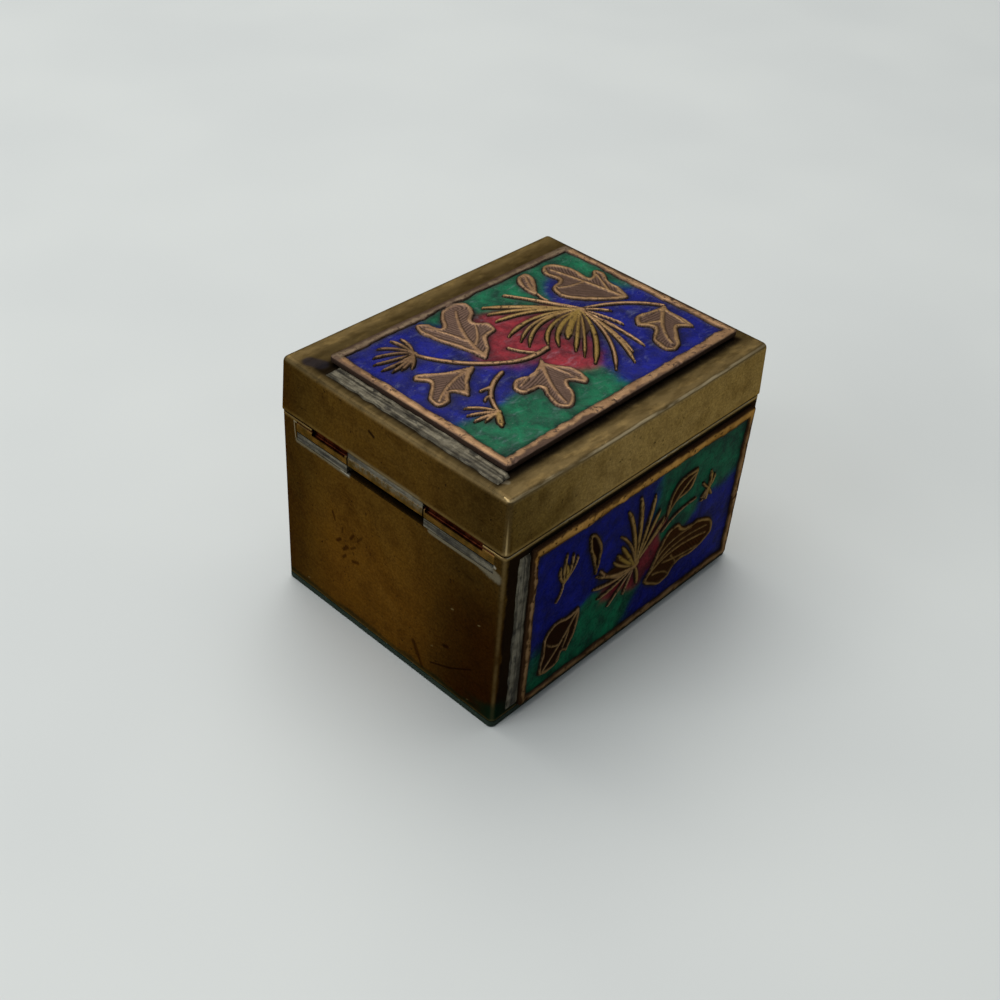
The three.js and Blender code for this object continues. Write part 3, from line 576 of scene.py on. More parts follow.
def enamel_material(name, colours, reflection_and_specks, shine, depth, dirt_and_shade_amount):
    """Glossy glass in three colours that run into each other, a little cloudy and speckled, with whitish wisps painted
    on as reflections of light, and dirt and painted shade beside the metal.
    """
    f = Finish(name)
    red, green, blue = f.attribute("glaze")[:3]
    cloud = f.noise(2.4, 4, 0.62, warp=0.4)
    fine = f.noise(0.5, 3, 0.6, shift=3.0)
    total = f.add(red, green, blue)
    share = f.sum("DIVIDE", green, f.add(green, blue, 0.0001))
    deep = [tuple(c * amount for c in one) for one, amount in ((colours.blue, depth), (colours.green, depth), (colours.red, depth**2))]
    colour = f.mix(share, deep[0], deep[1])
    colour = f.mix(f.sum("DIVIDE", red, total), colour, deep[2])
    colour = f.mix(f.band(cloud, 0.3, 0.58, 0.8, 0.0), colour, (0.28, 0.26, 0.36), "MULTIPLY")
    colour = f.mix(f.band(cloud, 0.52, 0.72, 0.0, 0.8), colour, (1.5, 1.5, 1.5), "MULTIPLY")
    colour = f.mix(f.band(fine, 0.4, 0.7, 0.0, 0.5), colour, (1.5, 1.5, 1.4), "MULTIPLY")
    # whitish wisps painted on the glass as reflections of light on its wavy face
    reflection_wisps = f.band(f.noise(1.5, 5, 0.7, stretch=(2.2, 1, 2.2), shift=11.0, warp=1.5), 0.52, 0.78)
    colour = f.mix(f.times(reflection_wisps, reflection_and_specks), colour, (0.42, 0.47, 0.56))
    specks = f.band(f.noise(0.28, 1, 0.5, shift=6.0), 0.7, 0.78, 0.0, reflection_and_specks)
    colour = f.mix(specks, colour, (0.5, 0.4, 0.42))
    grime = f.band(f.noise(0.4, 2, 0.6, shift=15.0), 0.66, 0.76, 0.0, 0.6)
    colour = f.mix(grime, colour, (0.004, 0.004, 0.006))
    # dark at the foot of the relief and in a broad halo round it: dirt, and painted shade
    edge, dirt_and_shade_nearby = f.attribute("dirt")[:2]
    colour = f.mix(f.times(dirt_and_shade_nearby, dirt_and_shade_amount * 0.75), colour, (0.16, 0.13, 0.14), "MULTIPLY")
    colour = f.mix(f.times(edge, dirt_and_shade_amount), colour, (0.010, 0.007, 0.009))
    roughness = f.add(0.16, f.times(fine, 0.16), f.times(cloud, 0.08))
    height = f.add(f.times(cloud, 1.0), f.times(fine, 0.25))
    bump = f.bump(height, 0.12, 0.5)
    return f.surface(colour, roughness=roughness, IOR=1.5, specular_IOR_level=shine, normal=bump)


def solder_material(name, colours, along):
    """Grey tin solder, dull, in long furrows with dirt in them, painted darker in the furrows as dirt and shade and
    lighter on the ridges as a painted highlight.
    """
    f = Finish(name)
    stretch = [22 if axis == along else 1 for axis in "xyz"]
    streak = f.noise(0.42, 2, 0.5, stretch=stretch)
    cloud = f.noise(1.2, 3, 0.6, shift=2.0)
    grain = f.noise(0.16, 2, 0.7, shift=5.0)
    # the colour follows the furrows: darker in them as dirt and painted shade, lighter on the ridges as painted
    # highlight
    colour = f.mix(f.band(streak, 0.36, 0.64), tuple(c * 0.35 for c in colours.solder), tuple(c * 1.2 for c in colours.solder))
    colour = f.mix(f.band(cloud, 0.42, 0.72, 0.0, 0.75), colour, (0.40, 0.38, 0.34), "MULTIPLY")
    colour = f.mix(f.band(grain, 0.45, 0.8, 0.0, 0.6), colour, (1.8, 1.8, 1.7), "MULTIPLY")
    pits = f.band(f.noise(0.9, 3, 0.6, stretch=[2.5 if s > 1 else 1 for s in stretch], shift=9.0), 0.56, 0.68, 0.0, 0.7)
    colour = f.mix(pits, colour, (0.012, 0.011, 0.010))
    roughness = f.add(0.45, f.times(cloud, 0.3))
    height = f.add(streak, f.times(grain, 0.5), f.times(pits, -0.8))
    return f.surface(colour, metallic=0.8, specular_IOR_level=0.3, roughness=roughness, normal=f.bump(height, 0.06, 0.7))


def hinge_material(name, colours):
    """Filed brass of the knuckles, brown with dirt, painted dark red-brown as shade where it lies deep."""
    f = Finish(name)
    cloud = f.noise(1.4, 3, 0.6)
    filed = f.noise(0.12, 2, 0.6, stretch=(1, 8, 1), shift=3.0)
    colour = f.mix(f.band(cloud, 0.35, 0.65), tuple(colours.olive), (0.13, 0.07, 0.018))
    colour = f.mix(f.band(filed, 0.4, 0.7, 0.0, 0.5), colour, (1.7, 1.6, 1.5), "MULTIPLY")
    # painted shade, dark red-brown, where the knuckles lie deep
    deep = f.band(f.x, -24.93, -24.85)
    slot_shade = f.mix(f.band(cloud, 0.4, 0.6), (0.030, 0.006, 0.003), (0.085, 0.020, 0.008))
    rough = f.noise(0.5, 3, 0.65, shift=6.0)
    smeared = inside_box(f, (-26, -6.4, 27.05), (-24, 7.2, 29), 0.4)
    smeared = f.times(smeared, f.band(f.add(cloud, rough), 0.86, 1.1, 0.15, 0.95))
    colour = f.mix(smeared, colour, tuple(colours.solder))
    colour = f.mix(deep, colour, slot_shade)
    roughness = f.add(0.38, f.times(cloud, 0.25))
    tint = (0.5, 0.38, 0.2, 1)
    return f.surface(colour, metallic=1.0, specular_tint=tint, roughness=roughness, normal=f.bump(filed, 0.03, 0.6))


def felt_material(colours):
    """Pressed felt, dark green, with short fibres and dust."""
    f = Finish("Green felt")
    fibre = f.noise(0.12, 3, 0.7, stretch=(3, 1, 1), warp=1.5)
    cross = f.noise(0.12, 3, 0.7, stretch=(1, 3, 1), shift=4.0, warp=1.5)
    cloud = f.noise(4, 3, 0.6)
    both = f.sum("MAXIMUM", fibre, cross)
    colour = f.mix(f.band(both, 0.45, 0.75), tuple(c * 0.4 for c in colours.felt), tuple(c * 1.9 for c in colours.felt))
    colour = f.mix(f.band(cloud, 0.5, 0.8, 0.0, 0.3), colour, (0.03, 0.036, 0.03))
    lint = f.times(f.band(f.noise(0.3, 2, 0.6, shift=7.0), 0.64, 0.74, 0.0, 0.35), f.band(f.z, 0.6, 0.9))
    colour = f.mix(lint, colour, (0.35, 0.40, 0.34))
    return f.surface(
        colour,
        roughness=0.95,
        specular_IOR_level=0.2,
        sheen_weight=0.05,
        sheen_roughness=0.5,
        normal=f.bump(both, 0.12, 0.9),
    )


# ---- the plaques' relief

FLANK = 1.5
HATCH = 0.54


class Plan:
    """One plaque: its levels, its place and its drawing. Points of the drawing are given on a
    panel of the drawn size and stretched to the real one."""

    def __init__(self, node, body, turn, levels, drawn, drawing, corner_high=False):
        self.node, self.body, self.drawing = node, body, drawing
        low, high = node_box(node)
        self.__dict__.update(levels)
        spans = high - low
        flat = turn == "top"
        self.length = spans[0]
        self.width = spans[1] if flat else spans[2]
        self.stretch = np.array([self.length / drawn[0], self.width / drawn[1]])
        if turn == "top":
            self.place = Matrix.Translation(Vector((low[0], low[1], low[2])) * MM)
        elif turn == "front":
            self.place = Matrix.Translation(Vector((low[0], high[1], low[2])) * MM) @ Matrix.Rotation(math.pi / 2, 4, "X")
        else:
            self.place = Matrix.Translation(Vector((high[0], low[1], low[2])) * MM) @ Matrix(
                ((-1, 0, 0, 0), (0, 0, 1, 0), (0, 1, 0, 0), (0, 0, 0, 1))
            )


class Panel:
    """Heights and finish over a plan, on mesh lines along it and up it."""

    def __init__(self, plan, us, vs):
        self.plan = plan
        self.u, self.v = np.meshgrid(us, vs)
        self.z = np.full(self.u.shape, float(plan.floor))
        self.gold = np.zeros(self.u.shape)
        self.vein = np.zeros(self.u.shape)
        self.flank_shade_and_dulling = np.zeros(self.u.shape)

    def near(self, curve, reach):
        """For the mesh points within reach of a bent line: where they are, how far from it, the
        share along it, and the line's length."""
        start, bend, tip = (np.array(p, float) * self.plan.stretch for p in curve)
        t = np.linspace(0, 1, 25)[:, None]
        line = (1 - t) ** 2 * start + 2 * t * (1 - t) * bend + t**2 * tip
        low, high = line.min(0) - reach, line.max(0) + reach
        where = np.nonzero((self.u > low[0]) & (self.u < high[0]) & (self.v > low[1]) & (self.v < high[1]))
        points = np.stack([self.u[where], self.v[where]], 1)
        a, d = line[:-1], np.diff(line, axis=0)
        rel = points[:, None] - a
        s = np.clip((rel * d).sum(2) / (d * d).sum(1), 0, 1)
        gaps = np.hypot(*np.moveaxis(rel - s[..., None] * d, 2, 0))
        k = gaps.argmin(1)
        rows = np.arange(len(k))
        return where, gaps[rows, k], (k + s[rows, k]) / 24, np.hypot(*d.T).sum()

    def lift(self, where, z, gold=0.0, vein=0.0, flank_shade_and_dulling=0.0):
        """Raises the surface to z where that is higher, with its finish."""
        higher = z > self.z[where]
        spots = tuple(w[higher] for w in where)
        self.z[spots] = z[higher]
        self.gold[spots] = np.broadcast_to(gold, z.shape)[higher]
        self.vein[spots] = np.broadcast_to(vein, z.shape)[higher]
        self.flank_shade_and_dulling[spots] = np.broadcast_to(flank_shade_and_dulling, z.shape)[higher]

    def ridge(self, curve, half, gold=0.0, height=1.0, end=0.85, start=0.35):
        """A rounded strip, widest past its middle and narrow at its tip."""
        plan = self.plan
        where, gap, share, _ = self.near(curve, half * 2.5)
        width = half * (start + (1 - start) * ease(share, 0, 0.45)) * (1 - (1 - 0.45) * ease(share, end, 1))
        crest = (plan.crest - plan.enamel) * height
        r = gap / width
        z = np.where(r < 1, plan.enamel + crest * (1 - r**2), plan.enamel - (gap - width) * FLANK)
        # the flanks are painted darker as shade, which parts the petals
        self.lift(where, z, gold, 0.12, 0.95 * ease(r, 0.5, 0.95))

    def web(self, curve, half):
        """Bare metal between petals, a little above the enamel."""
        where, gap, share, _ = self.near(curve, half * 1.3)
        width = half * np.sin(np.pi * np.clip(share, 0.04, 0.97) ** 1.3) ** 0.6
        z = self.plan.enamel + 0.075 - np.maximum(gap - width, 0) * FLANK
        self.lift(where, z, 0.0, 0.22)

    def depth(self, outline, reach):
        """For the mesh points near a closed line: where they are, and how deep inside it."""
        line = smooth_loop(outline) * self.plan.stretch
        low, high = line.min(0) - reach, line.max(0) + reach
        where = np.nonzero((self.u > low[0]) & (self.u < high[0]) & (self.v > low[1]) & (self.v < high[1]))
        points = np.stack([self.u[where], self.v[where]], 1)[:, None]
        a, b = line, np.roll(line, -1, 0)
        d = b - a
        rel = points - a
        s = np.clip((rel * d).sum(2) / (d * d).sum(1), 0, 1)
        gap = np.hypot(*np.moveaxis(rel - s[..., None] * d, 2, 0)).min(1)
        passes = (a[:, 1] > points[..., 1]) != (b[:, 1] > points[..., 1])
        rise = np.where(d[:, 1] == 0, 1e-9, d[:, 1])
        side = a[:, 0] + rel[..., 1] / rise * d[:, 0]
        inside = (passes & (points[..., 0] < side)).sum(1) % 2 == 1
        return where, np.where(inside, gap, -gap)

    def leaf(self, outline, ribs, gold=0.0, interior=0.9):
        """A lobed leaf: a raised outline, ribs, and veins hatched away from the first rib."""
        plan = self.plan
        where, s = self.depth(outline, 1.0)
        s = s - 0.14 + 0.07 * ripple(self.u[where], self.v[where], 0.7, 21)
        hatch = np.zeros(self.u.shape)
        rib = np.zeros(self.u.shape)
        for order, curve in enumerate(ribs):
            spots, gap, share, length = self.near(curve, 6)
            if order == 0:
                phase = (share * length - gap * 0.9) / HATCH + 0.25 * ripple(self.u[spots], self.v[spots], 1.2, 3)
                hatch[spots] = 0.5 + 0.5 * np.cos(2 * np.pi * phase) * (0.75 + 0.25 * ripple(self.u[spots], self.v[spots], 1.0, 23))
            thick = plan.outline * ((1.25 if order == 0 else 1.0) - 0.5 * share)
            lift = (1.0 if order == 0 else 0.9) * (1 - np.clip(gap / thick, 0, 1) ** 2)
            rib[spots] = np.maximum(rib[spots], np.where(share < 0.96, lift, 0))
        tall, edge = plan.crest - plan.enamel, plan.outline * (1 + 0.25 * ripple(self.u[where], self.v[where], 1.5, 4))
        bump = 1 - np.clip(np.abs(s - edge) / edge, 0, 1) ** 2
        face = (0.035 + 0.07 * hatch[where]) * ease(s, 0, 0.3)
        over = np.maximum(np.maximum(tall * bump, tall * rib[where]), face)
        z = plan.enamel + np.where(s > 0, over, s * FLANK)
        # the outline's wear is dulled at random, and its outer side is painted darker as shade
        dull = 0.26 + 0.16 * ripple(self.u[where], self.v[where], 1.1, 24)
        self.lift(where, z, gold, interior * (0.12 + 0.88 * hatch[where]), np.maximum(dull, 0.9 * ease(s, 0.1, 0.0)))

    def boss(self, middle, radius, gold=0.0):
        where, gap, _, _ = self.near((middle, middle, np.array(middle) + 0.01), radius * 2)
        r = gap / radius
        plan = self.plan
        top = plan.crest - plan.enamel
        z = np.where(r < 1, plan.enamel + top * (1 - r**4), plan.enamel - (gap - radius) * FLANK)
        self.lift(where, z, gold, 0.2)

    def frame(self):
        """The rim with its uneven inner edge, dark with dirt beside the enamel."""
        plan = self.plan
        u, v = self.u, self.v
        left, right, foot, head = plan.rims
        inner = np.minimum.reduce([u - left, plan.length - u - right, v - foot, plan.width - v - head])
        outer = np.minimum.reduce([u, plan.length - u, v, plan.width - v])
        inner = inner - 0.18 * ripple(u, v, 2.6, 5) - 0.10 * ripple(u, v, 0.9, 6)
        z = plan.height - inner * 2.2
        z = np.minimum(z, plan.height - 0.07 * ease(outer, 0.5, 0) - 0.05 * ease(inner, -0.5, 0))
        dents = ease(ripple(u, v, 0.5, 8) + 0.5 * ripple(u, v, 2.1, 11), 0.72, 1.2)
        z = z + 0.03 * ripple(u, v, 1.3, 7) - 0.08 * dents
        where = np.nonzero(inner < 0.6)
        self.lift(where, z[where], 0.0, 0.3)
        dirt = ease(inner, -0.3, 0.05) * (0.4 + 0.5 * ripple(u, v, 1.1, 13))
        dirt = np.maximum(dirt, ease(outer, 0.3, 0.1) * (0.2 + 0.5 * ripple(u, v, 1.9, 14)))
        dirt = np.maximum(dirt, dents * 0.5)
        for a, b, width, amount in plan.drawing.get("grime", ()):
            spots, gap, _, _ = self.near((a, a, b), width + 0.5)
            ragged = gap + 0.3 * ripple(u[spots], v[spots], 0.7, 15)
            dirt[spots] = np.maximum(dirt[spots], amount * ease(ragged, width, width * 0.4))
        self.grime = np.where(inner < 0.1, np.clip(dirt, 0, 1), 0)

    def draw(self):
        for outline, ribs, gold, interior in self.plan.drawing.get("leaves", ()):
            self.leaf(outline, ribs, gold, interior)
        for *curve, half in self.plan.drawing.get("webs", ()):
            self.web(curve, half)
        for hub, petals in self.plan.drawing.get("fans", ()):
            for bend_u, bend_v, tip_u, tip_v, half, gold in petals:
                self.ridge((hub, (bend_u, bend_v), (tip_u, tip_v)), half, gold)
        for *curve, half in self.plan.drawing.get("stems", ()):
            self.ridge(curve, half, 0.0, 0.85, 0.97, 0.8)
        for middle, radius, gold in self.plan.drawing.get("bosses", ()):
            self.boss(middle, radius, gold)
        motif = self.z > self.plan.enamel
        self.z += np.where(motif, 0.025 * ripple(self.u, self.v, 0.8, 9), 0)
        self.frame()
        rise = self.z - self.plan.enamel
        # crests are worn bright, less where dirt lies and on the flanks that are painted darker as shade
        self.worn = ease(rise, 0.10, 0.19) * (1 - self.grime) * (1 - self.flank_shade_and_dulling)
        self.vein *= ease(rise, -0.02, 0.06)
        for cu, cv, radius, amount in self.plan.drawing.get("dull", ()):
            cu, cv = self.plan.stretch * (cu, cv)
            gap = np.hypot(self.u - cu, self.v - cv) + 0.8 * ripple(self.u, self.v, 1.4, 22)
            self.worn *= 1 - amount * ease(gap, radius, radius * 0.6)


def smooth_loop(points, steps=6):
    """A smooth closed line through a few points."""
    p = np.array(points, float)
    t = np.linspace(0, 1, steps, endpoint=False)[:, None]
    runs = []
    for i in range(len(p)):
        a, b, c, d = (p[(i + k) % len(p)] for k in (-1, 0, 1, 2))
        runs.append(b + (c - a) * t / 2 + (a - 2.5 * b + 2 * c - d / 2) * t**2 + (1.5 * (b - c) + (d - a) / 2) * t**3)
    return np.concatenate(runs)


def lines(length, cell, edge):
    """Mesh lines over a length: even inside, close together round the edges at both ends."""
    turn = edge * (1 - np.cos(np.linspace(0, math.pi / 2, 5)))
    inner = np.linspace(edge, length - edge, int(round((length - 2 * edge) / cell)) + 1)[1:-1]
    return np.concatenate([[0], turn, inner, length - turn[::-1], [length]])


def round_corners(u, v, length, width, radius):
    """Draws the mesh points in the four corners in to a rounded outline."""
    cu = np.clip(u, radius, length - radius)
    cv = np.clip(v, radius, width - radius)
    du, dv = u - cu, v - cv
    far = np.hypot(du, dv)
    square = np.maximum(np.abs(du), np.abs(dv))
    share = np.where(far > 0, square / np.maximum(far, 1e-9), 1)
    return cu + du * share, cv + dv * share


def grid(name, rows, columns):
    """A flat grid of mesh points, rows of columns each."""
    leave_edit()
    bpy.ops.mesh.primitive_grid_add(x_subdivisions=columns - 1, y_subdivisions=rows - 1, size=MM)
    made = bpy.context.object
    made.name = made.data.name = name
    return made


def set_points(piece, x, y, z):
    piece.data.vertices.foreach_set("co", (np.stack([x, y, z], -1) * MM).astype(np.float32).ravel())
    piece.data.update()


def paint(piece, name, red, green, blue):
    """A colour attribute with a value for each mesh point."""
    layer = piece.data.color_attributes.new(name, "FLOAT_COLOR", "POINT")
    values = np.stack([red, green, blue, np.ones_like(red)], -1)
    layer.data.foreach_set("color", values.astype(np.float32).ravel())


def put_in_place(piece, place):
    activate(piece)
    piece.matrix_world = place
    bpy.ops.object.transform_apply(location=True, rotation=True, scale=True)


def draw_in(piece, length, width, inset, drop):
    """Extrudes the open edge of a plaque, inwards by inset or down by drop."""
    bpy.ops.mesh.extrude_region_move(TRANSFORM_OT_translate={"value": (0, 0, -drop * MM)})
    if inset:
        shrink = (1 - 2 * inset / length, 1 - 2 * inset / width, 1)
        bpy.ops.transform.resize(value=shrink, center_override=(length / 2 * MM, width / 2 * MM, 0))


def plaque_piece(plan, sizes, material):
    """The metal of one plaque as a fine relief over its bed."""
    edge = 0.18
    us, vs = lines(plan.length, sizes.cell, edge), lines(plan.width, sizes.cell, edge)
    panel = Panel(plan, us, vs)
    panel.draw()
    gap = np.minimum(np.minimum(panel.u, plan.length - panel.u), np.minimum(panel.v, plan.width - panel.v))
    rounded = plan.height - edge + edge * np.sqrt(1 - np.clip(1 - gap / edge, 0, 1) ** 2)
    z = np.minimum(panel.z, rounded)
    z = np.minimum(z, plan.crest + 0.02)
    outer = np.zeros(z.shape, bool)
    outer[[0, -1]] = True
    outer[:, [0, -1]] = True
    z[outer] = plan.bed
    worn = np.where(outer, 0, panel.worn * ease(z - plan.height, -edge * 1.1, -edge * 0.3))
    worn = np.where(gap > edge * 1.5, panel.worn, worn)
    u, v = round_corners(panel.u, panel.v, plan.length, plan.width, 0.5)
    made = grid(plan.node + "_relief", len(vs), len(us))
    set_points(made, u, v, z)
    paint(made, "finish", worn, panel.gold, panel.vein)
    select(made, "EDGE", lambda e: e.is_boundary)
    draw_in(made, plan.length, plan.width, plan.bed_inset, 0)
    draw_in(made, plan.length, plan.width, 0, plan.bed)
    bpy.ops.mesh.edge_face_add()
    put_in_place(made, plan.place)
    smooth(made, 50, weighted=False)
    dress(made, material, plan.body, "plaque_brass", plan.node)
    return made


def spread(mask, times):
    """A mask blurred over its neighbours."""
    soft = mask.astype(float)
    for _ in range(times):
        soft = (soft + np.roll(soft, 1, 0) + np.roll(soft, -1, 0) + np.roll(soft, 1, 1) + np.roll(soft, -1, 1)) / 5
    return soft


def glaze(plan, u, v):
    """Shares of red, green and blue glass, melting into each other."""
    shares = []
    for seed, name in enumerate(("red", "green", "blue")):
        best = np.full(u.shape, -2.0)
        for cu, cv, ru, rv in plan.drawing["zones"][name]:
            (cu, cv), (ru, rv) = plan.stretch * (cu, cv), plan.stretch * (ru, rv)
            best = np.maximum(best, 1 - np.hypot((u - cu) / ru, (v - cv) / rv))
        best += 0.10 * ripple(u, v, 1.6, 20 + seed) + 0.05 * ripple(u, v, 0.6, 30 + seed)
        shares.append(np.exp(best * 9))
    total = sum(shares)
    return [s / total for s in shares]


def enamel_piece(plan, node, sizes, material):
    """The enamel in one plaque: a thin wavy slab, with openings where the relief stands through."""
    cell = sizes.enamel_cell
    side = min(plan.rims) - 0.35
    us = np.linspace(side, plan.length - side, int((plan.length - 2 * side) / cell) + 1)
    vs = np.linspace(side, plan.width - side, int((plan.width - 2 * side) / cell) + 1)
    panel = Panel(plan, us, vs)
    panel.draw()
    proud = panel.z - plan.enamel
    metal = spread(proud > 0, 5)
    level = plan.enamel - 0.12 + 0.11 * metal + 0.02 * ripple(panel.u, panel.v, 2.2, 12)
    open_cell = (proud[:-1, :-1] < 0.06) | (proud[1:, :-1] < 0.06) | (proud[:-1, 1:] < 0.06) | (proud[1:, 1:] < 0.06)
    # no two kept cells meet at a point alone
    for _ in range(3):
        a, b, c, d = open_cell[:-1, :-1], open_cell[1:, 1:], open_cell[1:, :-1], open_cell[:-1, 1:]
        first = a & b & ~c & ~d
        second = c & d & ~a & ~b
        open_cell[1:, :-1] |= first
        open_cell[:-1, :-1] |= second
    made = grid(node + "_glass", len(vs), len(us))
    set_points(made, panel.u, panel.v, level)
    paint(made, "glaze", *glaze(plan, panel.u, panel.v))
    # dirt and painted shade at the foot of the relief, and a broad halo of both round the motif
    dirt = np.clip(spread(proud > -0.05, 4) * 1.5 + 0.25 * ripple(panel.u, panel.v, 0.9, 17), 0, 1)
    dirt_and_shade_nearby = np.clip(spread(proud > 0, 60) * 2.4 + 0.35 * ripple(panel.u, panel.v, 1.8, 18) - 0.3, 0, 1)
    paint(made, "dirt", dirt, dirt_and_shade_nearby, dirt * 0)
    kept = open_cell.ravel()
    select(made, "FACE", lambda face: not kept[face.index])
    bpy.ops.mesh.delete(type="FACE")
    bpy.ops.object.mode_set(mode="OBJECT")
    thickness = plan.enamel - plan.floor - 0.15
    modify(made, "SOLIDIFY", thickness=thickness * MM, offset=-1)
    put_in_place(made, plan.place)
    smooth(made, 50, weighted=False)
    dress(made, material, plan.body, "enamel", node)
    return made


# ---- the drawings: bent lines and lobes, on panels of the drawn size

TOP_LEVELS = dict(
    bed=0.45, bed_inset=0.7, height=1.2, rims=(1.2, 1.15, 1.45, 1.15), floor=0.7, enamel=1.0, crest=1.28, outline=0.36
)
SIDE_LEVELS = dict(
    bed=0.2, bed_inset=0.1, height=0.7, rims=(1.15, 1.2, 1.05, 1.5), floor=0.3, enamel=0.52, crest=0.75, outline=0.28
)

